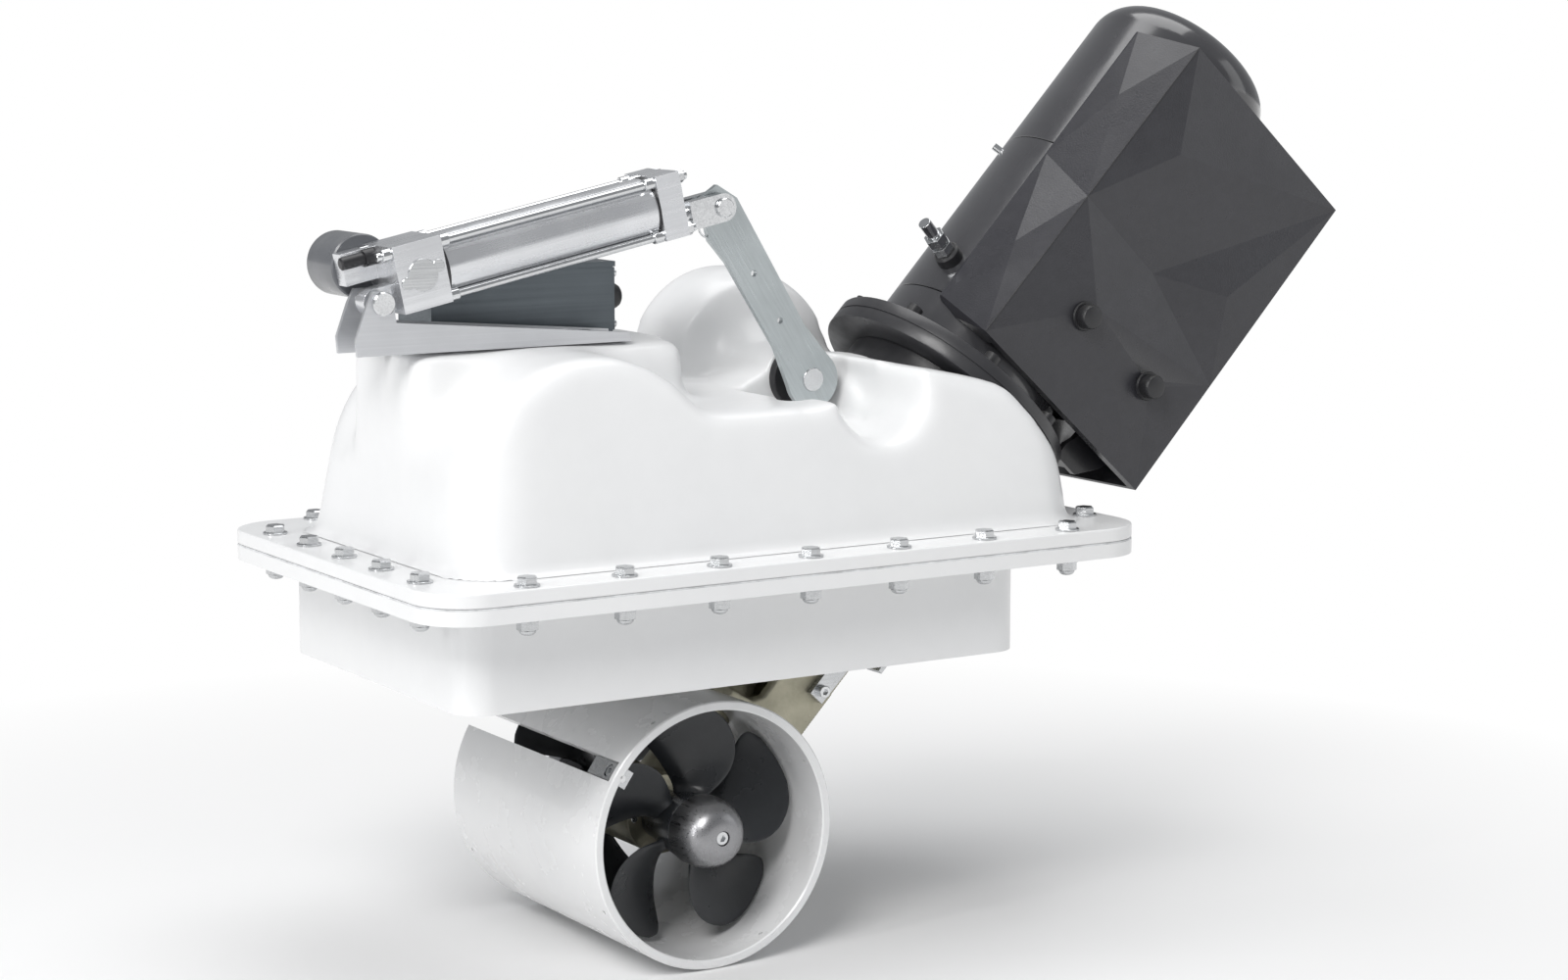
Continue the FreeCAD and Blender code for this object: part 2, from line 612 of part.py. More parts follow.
def nose_cone(side):
    """Rounded nose that holds the propeller on, revolved about its shaft."""
    y0 = HUB_Y[1] + 0.2
    radius = 26.5
    edges = [Part.LineSegment(V(0, y0, 0), V(radius, y0, 0)).toShape(),
             Part.LineSegment(V(radius, y0, 0), V(radius, y0 + 8.0, 0)).toShape(),
             Part.Arc(V(radius, y0 + 8.0, 0), V(radius * 0.80, y0 + 24.0, 0), V(7.0, y0 + 34.0, 0)).toShape(),
             Part.LineSegment(V(7.0, y0 + 34.0, 0), V(0, y0 + 34.0, 0)).toShape(),
             Part.LineSegment(V(0, y0 + 34.0, 0), V(0, y0, 0)).toShape()]
    nose = Part.Face(Part.Wire(edges)).revolve(V(0, 0, 0), Y, 360)
    nose = nose.cut(cross_rod(0, 0, (y0 - 1, y0 + 8.0), PROP_SHAFT_R))
    nose = nose.cut(cross_rod(0, 0, (y0, y0 + 40.0), 3.0)).cut(cross_rod(0, 0, (y0 + 28.0, y0 + 40.0), 5.6))
    if side < 0:
        nose = nose.mirror(V(0, 0, 0), Y)
    nose.translate(TUNNEL_C)
    return nose


def prop_shaft(side):
    y = (5.5, HUB_Y[1] + 8.0)
    shaft = cylinder(V(0, side * y[0], 0), Y * side, PROP_SHAFT_R, y[1] - y[0])
    shaft = shaft.cut(cylinder(V(0, side * (y[1] - 12.0), 0), Y * side, 3.0, 14.0))
    shaft.translate(TUNNEL_C)
    return shaft


# ---------------------------------------------------------------- drive line
BALL_R = 19.0
CUP_R = 25.0


def leg_shaft():
    """Drive shaft down the leg, with the ball of the constant-velocity joint on its upper end."""
    shaft = cylinder(V(26.0, 0, 0), V(1, 0, 0), LEG_SHAFT_R, LEG_LENGTH - 30.0)
    spigot = cylinder(V(12.0, 0, 0), V(1, 0, 0), LEG_SHAFT_R - 2.0, 15.0)
    ball = Part.makeSphere(BALL_R, V(LEG_LENGTH, 0, 0))
    return turned(shaft.fuse(spigot).fuse(ball), LEG_ANGLE, TUNNEL_C)


def joint_cup():
    """Cup of the constant-velocity joint, with a sleeve that slides on the motor shaft."""
    cup = cylinder(V(0.5, 0, 0), V(1, 0, 0), CUP_R, CUP_R + 1.0)
    cup = cup.cut(Part.makeSphere(BALL_R + 0.4, V(0, 0, 0)))
    neck = Part.makeCone(CUP_R, 14.0, 9.0, V(CUP_R + 1.5, 0, 0), V(1, 0, 0))
    sleeve = cylinder(V(CUP_R + 10.0, 0, 0), V(1, 0, 0), 14.0, 12.0)
    cup = cup.fuse(neck).fuse(sleeve)
    cup = cup.cut(cylinder(V(CUP_R + 1.5, 0, 0), V(1, 0, 0), MOTOR_SHAFT_R, 60.0))
    return turned(cup, MOTOR_ANGLE, LEG_PIVOT)


MOTOR_SHAFT_R = 9.0


def motor_shaft():
    shaft = cylinder(V(CUP_R + 1.6 - SEAT_RISE, 0, 0), V(1, 0, 0), MOTOR_SHAFT_R, 364.0)
    return turned(shaft, MOTOR_ANGLE, MOTOR_SEAT)


def motor_rotor():
    """Laminated rotor and commutator on the motor shaft."""
    core = tube(V(120.0, 0, 0), V(1, 0, 0), 52.0, MOTOR_SHAFT_R, 110.0)
    commutator = tube(V(244.0, 0, 0), V(1, 0, 0), 30.0, MOTOR_SHAFT_R, 34.0)
    sleeve = tube(V(229.0, 0, 0), V(1, 0, 0), 14.0, MOTOR_SHAFT_R, 16.0)
    return turned(core.fuse(commutator).fuse(sleeve), MOTOR_ANGLE, MOTOR_SEAT)


def pivot_bracket():
    """Fixed casting under the motor seat that carries the leg's two pivot pins."""
    bracket = cylinder(V(-WALL - 9.3, 0, 0), V(1, 0, 0), 64.0, 9.0)
    bracket = bracket.cut(cylinder(V(-60, 0, 0), V(1, 0, 0), 29.0, 80.0))
    for side in (-1, 1):
        y0 = BRACKET_Y[0] if side > 0 else -BRACKET_Y[1]
        y = (y0, y0 + BRACKET_Y[1] - BRACKET_Y[0])
        cheek = polygon_prism([(-SEAT_RISE, 17.0), (-WALL - 6.0, 30.0), (-WALL - 6.0, -34.0),
                               (-SEAT_RISE, -17.0)], y)
        bracket = bracket.fuse(cheek.fuse(cross_rod(-SEAT_RISE, 0, y, 17.0)))
    bracket = bracket.cut(cross_rod(-SEAT_RISE, 0, (-200, 200), PIVOT_PIN_R + 0.05))
    return turned(bracket, MOTOR_ANGLE, MOTOR_SEAT)


def pivot_pin(side):
    y0 = CHEEK_Y[0] + 0.5
    pin = cylinder(V(LEG_PIVOT.x, side * y0, LEG_PIVOT.z), Y * side, PIVOT_PIN_R, BRACKET_Y[1] - y0 + 1.0)
    head = cylinder(V(LEG_PIVOT.x, side * BRACKET_Y[1], LEG_PIVOT.z), Y * side, 12.0, 4.0)
    return pin.fuse(head)


# ---------------------------------------------------------------- lever, crank and link
def lever_arm():
    """Pressed steel lever: a long taper with an offset head, and a round end on the shaft."""
    foot = (SHAFT.x, SHAFT.z)
    tip = (PIN_FRONT.x, PIN_FRONT.z)
    y = (LEVER_Y - LEVER_T / 2, LEVER_Y + LEVER_T / 2)
    length = math.hypot(tip[0] - foot[0], tip[1] - foot[1])
    outline = [(-4.0, 21.5), (0.0, 22.0), (40.0, 15.0), (length - 40.0, 15.5), (length - 18.0, 19.0),
               (length + 2.0, 13.0), (length + 13.0, 12.0), (length + 13.5, -9.0), (length - 4.0, -18.0),
               (40.0, -16.0), (0.0, -22.0), (-4.0, -21.5)]
    plate = polygon_prism(outline, y).fuse(cross_rod(0, 0, y, 22.0))
    plate = plate.cut(cross_rod(0, 0, (-60, 60), SHAFT_R))
    plate = plate.cut(cross_rod(length, 0, (-60, 60), 7.5))
    for reach in (55.0, 98.0):
        plate = plate.cut(cross_rod(reach, 0, (-60, 60), 2.5))
    angle = math.degrees(math.atan2(tip[1] - foot[1], tip[0] - foot[0]))
    return turned(plate, angle, V(SHAFT.x, 0, SHAFT.z))


CRANK_Y = (75.0, 87.0)
LINK_Y = (68.0, 73.0)


def lever_shaft():
    return cross_rod(SHAFT.x, SHAFT.z, (LEVER_Y - LEVER_T / 2 - 1.0, 93.0), SHAFT_R)


def crank_pin_centre():
    return V(SHAFT.x, 0, SHAFT.z) + along(LINK_CRANK_ANGLE) * LINK_CRANK_R


def leg_pin_centre():
    return LEG_PIVOT + along(LINK_LEG_ANGLE) * LINK_LEG_R


def inner_crank():
    length = LINK_CRANK_R
    arm = polygon_prism([(0, 15.0), (length, 9.5), (length, -9.5), (0, -15.0)], CRANK_Y)
    arm = arm.fuse(cross_rod(0, 0, CRANK_Y, 17.0)).fuse(cross_rod(length, 0, CRANK_Y, 9.5))
    arm = arm.cut(cross_rod(0, 0, (0, 200), SHAFT_R)).cut(cross_rod(length, 0, (0, 200), 6.0))
    return turned(arm, LINK_CRANK_ANGLE, V(SHAFT.x, 0, SHAFT.z))


def crank_pin():
    c = crank_pin_centre()
    return cross_rod(c.x, c.z, (LINK_Y[0] - 2.0, CRANK_Y[1]), 6.0)


def link_bar():
    top = crank_pin_centre()
    low = leg_pin_centre()
    length = (top - low).Length
    bar = polygon_prism([(0, 7.0), (length, 7.0), (length, -7.0), (0, -7.0)], LINK_Y)
    bar = bar.fuse(cross_rod(0, 0, LINK_Y, 12.0)).fuse(cross_rod(length, 0, LINK_Y, 8.5))
    bar = bar.cut(cross_rod(0, 0, (0, 200), 6.0 + LINK_OPEN_GAP)).cut(cross_rod(length, 0, (0, 200), 6.05))
    angle = math.degrees(math.atan2(top.z - low.z, top.x - low.x))
    return turned(bar, angle, low)


def leg_link_pin():
    """Pin pressed through the leg's back cheek, with a collar that carries the link."""
    c = leg_pin_centre()
    pin = cross_rod(c.x, c.z, (CHEEK_Y[0], LINK_Y[1] + 2.0), 6.0)
    return pin.fuse(cross_rod(c.x, c.z, (CHEEK_Y[1], LINK_Y[0] - 0.5), 9.0))


def shaft_bush(y):
    return cross_ring(SHAFT.x, SHAFT.z, y, BUSH_R, SHAFT_R + 0.05)


def front_bush():
    """Flanged black bearing in the mouth of the swelling."""
    sleeve = cross_ring(SHAFT.x, SHAFT.z, (BOSS_Y, 24.0), BUSH_R, SHAFT_R + 0.05)
    flange = cross_ring(SHAFT.x, SHAFT.z, (BOSS_Y - 7.0, BOSS_Y), 24.0, SHAFT_R + 0.05)
    return sleeve.fuse(flange)


# ---------------------------------------------------------------- motor
def about_motor(outline):
    return turned(revolve_x(outline), MOTOR_ANGLE, MOTOR_SEAT)


def motor_base():
    """Black adapter between the housing and the motor flange."""
    return about_motor([(0.0, 29.0), (0.0, 80.0), (22.8, 80.0), (22.8, 29.0)])


FLANGE_LOW = 23.0
FLANGE_TOP = 43.0
FLANGE_RADIUS = 105.0


def motor_flange():
    """Two round plates with a fine seam between them, bored for the shaft."""
    r = FLANGE_RADIUS
    middle = (FLANGE_LOW + FLANGE_TOP) / 2
    return about_motor([(FLANGE_LOW, 12.0), (FLANGE_LOW, r - 1.0), (FLANGE_LOW + 1.0, r), (middle - 0.8, r),
                        (middle, r - 1.2), (middle + 0.8, r), (FLANGE_TOP - 1.0, r), (FLANGE_TOP, r - 1.0),
                        (FLANGE_TOP, 12.0)])


def motor_end_ring():
    return about_motor([(43.2, 30.0), (43.2, MOTOR_R), (77.6, MOTOR_R), (77.6, 72.0), (60.0, 72.0), (60.0, 30.0)])


def motor_body():
    return about_motor([(78.2, 73.0), (78.2, MOTOR_R), (231.6, MOTOR_R), (231.6, 73.0)])


def motor_cap():
    """Drawn cap with a large round edge."""
    path = [(232.2, 73.0), (232.2, MOTOR_R), (360.0, MOTOR_R)]
    corner = 28.0
    for i in range(1, 7):
        a = math.radians(15.0 * i)
        path.append((360.0 + corner * math.sin(a), MOTOR_R - corner + corner * math.cos(a)))
    path += [(391.0, 0.0), (386.0, 0.0), (383.0, MOTOR_R - corner), (374.0, 66.0), (360.0, 73.0)]
    return about_motor(path)


def motor_stator():
    return about_motor([(112.0, 54.0), (112.0, 72.5), (228.0, 72.5), (228.0, 54.0)])


def motor_bearing(u):
    return about_motor([(u, MOTOR_SHAFT_R + 0.05), (u, 24.0), (u + 12.0, 24.0), (u + 12.0, MOTOR_SHAFT_R + 0.05)])


# faceted cover in motor axes: X along the motor, Y to the back, Z up and left of it
COVER_LOW_X = 60.0
COVER_TOP_X = 353.0
COVER_FRONT = -88.0
COVER_BACK = 34.0
COVER_RIGHT = -142.0
COVER_CREASE = 55.0
COVER_LEFT = 76.0
COVER_LEFT_Y = -36.0
KNOBS = ((126.0, -5.0), (126.5, -90.0))


def motor_cover():
    """Moulded cover: flat facets fold over raised and sunk points; open at the low end and behind."""
    x0 = COVER_LOW_X
    x1 = COVER_TOP_X
    front = COVER_FRONT
    low_right = V(x0 + 2.0, front, COVER_RIGHT)
    top_right = V(x1 + 2.0, front, COVER_RIGHT)
    low_crease = V(x0 - 1.0, front, COVER_CREASE + 1.0)
    top_crease = V(x1 - 1.0, front, COVER_CREASE - 2.0)
    mid_crease = V(x0 + 136.0, front - 1.0, COVER_CREASE)
    right_mid = V(x0 + 109.0, front, COVER_RIGHT)
    low_left = V(x0 + 13.0, COVER_LEFT_Y, COVER_LEFT)
    top_left = V(x1 - 6.0, COVER_LEFT_Y, COVER_LEFT)
    mid_left = V(x0 + 158.0, COVER_LEFT_Y, COVER_LEFT)
    upper = V(x0 + 217.0, front - 5.0, 12.0)
    middle = V(x0 + 137.0, front + 4.0, -38.0)
    lower = V(x0 + 78.0, front - 5.0, -10.0)
    side = V(x0 + 170.0, front - 2.0, -104.0)
    left_high = V(x0 + 226.0, -61.0, 70.5)
    left_low = V(x0 + 76.0, -66.0, 69.5)
    faces = []

    def facet(*points):
        faces.append(Part.Face(Part.makePolygon(list(points) + [points[0]])))

    facet(top_crease, top_right, upper)
    facet(mid_crease, top_crease, upper)
    facet(upper, top_right, middle)
    facet(mid_crease, upper, middle)
    facet(mid_crease, middle, lower)
    facet(low_crease, mid_crease, lower)
    facet(middle, top_right, side)
    facet(top_right, right_mid, side)
    facet(middle, side, right_mid)
    facet(middle, right_mid, lower)
    facet(lower, right_mid, low_right)
    facet(low_crease, lower, low_right)
    facet(top_left, top_crease, left_high)
    facet(top_crease, mid_crease, left_high)
    facet(mid_left, top_left, left_high)
    facet(mid_crease, mid_left, left_high)
    facet(mid_left, mid_crease, left_low)
    facet(low_left, mid_left, left_low)
    facet(mid_crease, low_crease, left_low)
    facet(low_crease, low_left, left_low)
    rear = [V(p.x, COVER_BACK, p.z) for p in (low_right, top_right)]
    rear_left = [V(p.x, COVER_BACK, p.z) for p in (low_left, top_left)]
    facet(low_right, right_mid, rear[1])
    facet(right_mid, top_right, rear[1])
    facet(low_right, rear[1], rear[0])
    facet(mid_left, low_left, rear_left[0])
    facet(mid_left, rear_left[0], rear_left[1])
    facet(mid_left, rear_left[1], top_left)
    facet(top_crease, top_right, rear[1])
    facet(top_crease, rear[1], rear_left[1])
    facet(top_crease, rear_left[1], top_left)
    facet(low_crease, low_right, rear[0])
    facet(low_crease, rear[0], rear_left[0])
    facet(low_crease, rear_left[0], low_left)
    facet(rear[0], rear[1], rear_left[1])
    facet(rear[0], rear_left[1], rear_left[0])
    shell = Part.makeShell(faces)
    shell.sewShape()
    solid = Part.makeSolid(shell)
    if solid.Volume < 0:
        solid.reverse()
    wall = 3.0
    hollow = box((x0 - 20, x1 - wall), (front + 8.0, COVER_BACK + 1), (COVER_RIGHT + wall, 40.0))
    solid = solid.cut(hollow)
    solid = solid.cut(cylinder(V(x0 - 20, 0, 0), V(1, 0, 0), MOTOR_R + 1.0, x1 - x0 + 60.0))
    behind = box((x0 - 20, x1 + 20), (COVER_LEFT_Y + 2.0, COVER_BACK + 1), (40.0, 120.0))
    for x, z in KNOBS:
        solid = solid.cut(cylinder(V(x, front - 20.0, z), Y, 4.4, 60.0))
    return turned(solid.cut(behind), MOTOR_ANGLE, MOTOR_SEAT)


def cover_knob(x, z):
    knob = cylinder(V(x, COVER_FRONT - 16.5, z), Y, 9.5, 10.0)
    stem = cylinder(V(x, COVER_FRONT - 7.0, z), Y, 4.0, 14.0)
    return turned(knob.fuse(stem), MOTOR_ANGLE, MOTOR_SEAT)


CASE_X = (84.0, 338.0)
CASE_Y = (-66.0, 28.0)
CASE_Z = (-134.0, -84.0)


def controller_case():
    """Black electronics case beside the motor, under the cover."""
    case = box(CASE_X, CASE_Y, CASE_Z)
    case = case.cut(box((CASE_X[0] + 4, CASE_X[1] - 4), (CASE_Y[0] + 4, CASE_Y[1] - 4),
                        (CASE_Z[0] + 4, CASE_Z[1] - 4)))
    for i in range(9):
        x = CASE_X[0] + 14.0 + i * 27.0
        case = case.fuse(box((x, x + 3.0), CASE_Y, (CASE_Z[1], CASE_Z[1] + 3.5)))
    for x, z in KNOBS:
        case = case.cut(cylinder(V(x, -90.0, z), Y, 4.6, 40.0))
    return turned(case, MOTOR_ANGLE, MOTOR_SEAT)


def controller_bracket():
    """Black angle bracket that ties the electronics case to the motor flange."""
    outline = [(FLANGE_TOP + 0.2, -80.5), (FLANGE_TOP + 0.2, -104.0), (60.0, -118.0), (83.8, -132.0),
               (83.8, -86.0), (64.0, -84.0), (56.0, -80.5)]
    bracket = None
    for y in ((-62.0, -56.0), (18.0, 24.0)):
        rib = polygon_prism(outline, y)
        bracket = rib if bracket is None else bracket.fuse(rib)
    bracket = bracket.fuse(box((79.8, 83.8), (-62.0, 24.0), (-132.0, -86.0)))
    bracket = bracket.fuse(box((FLANGE_TOP + 0.2, FLANGE_TOP + 4.2), (-62.0, 24.0), (-96.0, -80.5)))
    return turned(bracket, MOTOR_ANGLE, MOTOR_SEAT)


TERMINALS = ((107.0, 12.0), (107.0, -100.0))     # place along the motor, angle round it


def terminals():
    """Power studs on the motor's side, with two nuts on each."""
    studs = []
    nuts = []
    for x, angle in TERMINALS:
        out = V(0, -math.sin(math.radians(angle)), math.cos(math.radians(angle)))
        root = V(x, 0, 0) + out * MOTOR_R
        studs.append(cylinder(root - out * 5.0, out, 5.0, 49.0))
        for rise in (10.0, 20.5):
            nut = hexagon(V(0, 0, 0), 1, 15.0, 8.0).cut(cylinder(V(0, 0, -1), UP, 5.05, 10.0))
            nut.rotate(V(0, 0, 0), V(1, 0, 0), angle)
            nut.translate(root + out * rise)
            nuts.append(nut)
    return [compound([turned(p, MOTOR_ANGLE, MOTOR_SEAT) for p in group]) for group in (studs, nuts)]


def terminal_holes(body):
    for x, angle in TERMINALS:
        out = V(0, -math.sin(math.radians(angle)), math.cos(math.radians(angle)))
        root = V(x, 0, 0) + out * (MOTOR_R - 10.0)
        body = body.cut(turned(cylinder(root, out, 5.0, 20.0), MOTOR_ANGLE, MOTOR_SEAT))
    return body


# ---------------------------------------------------------------- actuator
HEAD_Y = (-23.0, 23.0)      # of the square heads, from the actuator's middle plane
HEAD_Z = (-11.0, 37.0)
REAR_HEAD_X = (13.0, 51.0)
FRONT_HEAD_X = (227.0, 247.0)
PIN_R = 5.0
TIE_R = 3.0
TIE_START = 34.0            # the rods end in blind holes of the back head
TIE_Y = 17.5
TIE_Z = (-7.0, 32.0)


def on_actuator(shape):
    return turned(shape, ROD_ANGLE, PIN_BACK)


def actuator_rear_head():
    head = box(REAR_HEAD_X, HEAD_Y, HEAD_Z)
    eye = box((0.0, REAR_HEAD_X[0] + 2.0), (-7.0, 7.0), (-9.5, 9.5)).fuse(cross_rod(0, 0, (-7.0, 7.0), 9.5))
    gearbox = box((-12.0, REAR_HEAD_X[0] + 1.0), (10.0, 23.0), (13.0, 36.0))
    head = head.fuse(eye).fuse(gearbox)
    head = head.cut(cross_rod(0, 0, (-50, 50), PIN_R + 0.05))
    head = head.cut(cylinder(V(40.0, 0, 0), V(1, 0, 0), 6.5, 20.0))
    for y in (-TIE_Y, TIE_Y):
        for z in TIE_Z:
            head = head.cut(cylinder(V(TIE_START, y, z), V(1, 0, 0), TIE_R, 60.0))
    return on_actuator(head)


def actuator_casing():
    base = V(REAR_HEAD_X[1] + 0.1, 0, CASING_RISE)
    return on_actuator(tube(base, V(1, 0, 0), CASING_R, CASING_R - 2.0, FRONT_HEAD_X[0] - REAR_HEAD_X[1] - 0.2))


def actuator_front_head():
    head = box(FRONT_HEAD_X, HEAD_Y, HEAD_Z)
    head = head.cut(cylinder(V(200.0, 0, 0), V(1, 0, 0), ROD_R + 0.06, 100.0))
    for y in (-TIE_Y, TIE_Y):
        for z in TIE_Z:
            head = head.cut(cylinder(V(200.0, y, z), V(1, 0, 0), TIE_R, 100.0))
    return on_actuator(head)


def tie_rod(y, z):
    return on_actuator(cylinder(V(TIE_START, y, z), V(1, 0, 0), TIE_R, FRONT_HEAD_X[1] + 8.0 - TIE_START))


def actuator_motor():
    """Motor of the actuator, standing across it on the back."""
    path = [(0.0, 0.0), (0.0, 22.0), (1.5, 23.0), (43.0, 23.0), (46.0, 21.5), (47.0, 18.0), (47.0, 7.0),
            (50.0, 7.0), (50.0, 0.0)]
    can = revolve_x(path)
    can.rotate(V(0, 0, 0), UP, 90)
    can.translate(V(8.0, 23.2, 22.0))
    return on_actuator(can)


def lead_screw():
    """Plain core of the lead screw, with its journal in the back head."""
    core = cylinder(V(41.0, 0, 0), V(1, 0, 0), 6.0, 10.0).fuse(cylinder(V(51.0, 0, 0), V(1, 0, 0), 4.4, 160.0))
    return on_actuator(core)


def piston_rod():
    rod = cylinder(V(70.0, 0, 0), V(1, 0, 0), ROD_R, PIN_REACH - 34.0 - 70.0)
    return on_actuator(rod.cut(cylinder(V(60.0, 0, 0), V(1, 0, 0), 5.0, 172.0)))


def screw_nut():
    """Guide on the rod's inner end; it slides in the casing and carries the screw's thread."""
    guide = cylinder(V(56.0, 0, CASING_RISE), V(1, 0, 0), CASING_R - 2.5, 14.0)
    return on_actuator(guide.cut(cylinder(V(50.0, 0, 0), V(1, 0, 0), 5.0, 30.0)))


FORK_Y = 13.0
FORK_SLOT = 3.4


def rod_fork():
    x = PIN_REACH
    fork = cross_rod(x, 0, (-FORK_Y, FORK_Y), 10.5)
    fork = fork.fuse(box((x - 28.0, x), (-FORK_Y, FORK_Y), (-10.5, 10.5)))
    fork = fork.fuse(cylinder(V(x - 34.0, 0, 0), V(1, 0, 0), 10.5, 8.0))
    fork = fork.cut(box((x - 27.0, x + 30.0), (-FORK_SLOT, FORK_SLOT), (-20.0, 20.0)))
    fork = fork.cut(cross_rod(x, 0, (-50, 50), PIN_R))
    return on_actuator(fork)


def fork_pins():
    """Stub pins, one in each cheek of the fork: the loop is opened between them and the lever's bush."""
    pins = []
    for side in (-1, 1):
        pin = cylinder(V(PIN_REACH, side * FORK_SLOT, 0), Y * side, PIN_R, FORK_Y - FORK_SLOT + 3.0)
        head = cylinder(V(PIN_REACH, side * FORK_Y, 0), Y * side, 7.0, 3.0)
        pins.append(on_actuator(pin.fuse(head)))
    return pins


CHEEK_GAP = 14.5            # inside of the bracket's cheeks, from the actuator's middle plane


def actuator_bracket():
    """Folded steel channel: two cheeks that carry the actuator's back pin."""
    profile = [(-257.5, DECK_Z + 0.3), (-258.5, 250.0), (-250.0, 273.0), (-245.0, 283.0), (-233.0, 283.0),
               (-229.0, 270.0), (-227.5, 260.5), (-42.0, 244.5), (-41.0, DECK_Z + 0.3)]
    channel = None
    for side in (-1, 1):
        inner = LEVER_Y + side * CHEEK_GAP
        y = (min(inner, inner + side * 3.0), max(inner, inner + side * 3.0))
        cheek = polygon_prism(profile, y)
        channel = cheek if channel is None else channel.fuse(cheek)
    floor = box((-220.0, -41.0), (LEVER_Y - CHEEK_GAP - 3.0, LEVER_Y + CHEEK_GAP + 3.0),
                (DECK_Z + 0.3, DECK_Z + 3.3))
    channel = channel.fuse(floor)
    channel = channel.cut(cross_rod(PIN_BACK.x, PIN_BACK.z, (-60, 30), PIN_R))
    for x in (-190.0, -130.0, -70.0):
        channel = channel.cut(cylinder(V(x, LEVER_Y, DECK_Z - 5), UP, 3.0, 20.0))
    return channel.removeSplitter()


def bracket_pin():
    y0 = LEVER_Y - CHEEK_GAP - 3.0
    y1 = LEVER_Y + CHEEK_GAP + 3.0
    pin = cross_rod(PIN_BACK.x, PIN_BACK.z, (y0, y1 + 3.0), PIN_R)
    return pin.fuse(cross_rod(PIN_BACK.x, PIN_BACK.z, (y0 - 4.0, y0), 8.5))


# ---------------------------------------------------------------- control box
CTRL_X = (-180.0, -32.0)
CTRL_Y = (5.5, 60.5)
CTRL_Z = (DECK_Z + 3.5, 289.0)


def control_box():
    body = box(CTRL_X, CTRL_Y, CTRL_Z)
    body = body.cut(box((CTRL_X[0] + 3, CTRL_X[1] - 3), (CTRL_Y[0] + 3, CTRL_Y[1] - 3),
                        (CTRL_Z[0] + 3, CTRL_Z[1] + 1)))
    for x in (CTRL_X[0] + 16.0, CTRL_X[1] - 16.0):
        for y in (CTRL_Y[0] + 10.0, CTRL_Y[1] - 10.0):
            body = body.fuse(cylinder(V(x, y, CTRL_Z[0] - 3.2), UP, 5.0, 6.0))
    gland = cylinder(V(CTRL_X[1] - 10, 30.0, 265.0), V(1, 0, 0), 8.0, 20.0)
    return body.cut(gland)


def control_lid():
    lid = box((CTRL_X[0] - 1.5, CTRL_X[1] + 1.5), (CTRL_Y[0] - 1.5, CTRL_Y[1] + 1.5),
              (CTRL_Z[1] + 0.1, CTRL_Z[1] + 4.0))
    for x, y in lid_screw_centres():
        lid = lid.cut(cylinder(V(x, y, CTRL_Z[1] - 1), UP, 2.0, 9.0))
    return lid


def lid_screw_centres():
    return [(x, y) for x in (CTRL_X[0] + 6.0, CTRL_X[1] - 6.0) for y in (CTRL_Y[0] + 6.0, CTRL_Y[1] - 6.0)]


def cable_gland():
    """Empty cable gland in the end of the control box, with its clamping nut."""
    x = CTRL_X[1]
    base = V(x, 30.0, 265.0)
    body = cylinder(base + V(-9.0, 0, 0), V(1, 0, 0), 7.9, 12.0)
    nut = hexagon(V(0, 0, 0), 1, 24.0, 6.0)
    nut.rotate(V(0, 0, 0), Y, 90)
    nut.translate(base + V(0.2, 0, 0))
    dome = revolve_x([(6.2, 0.0), (6.2, 11.8), (12.0, 11.8), (16.0, 10.0), (18.0, 6.5), (18.0, 0.0)])
    dome.translate(base)
    gland = body.fuse(nut).fuse(dome)
    return gland.cut(cylinder(base + V(-10.0, 0, 0), V(1, 0, 0), 4.5, 40.0))


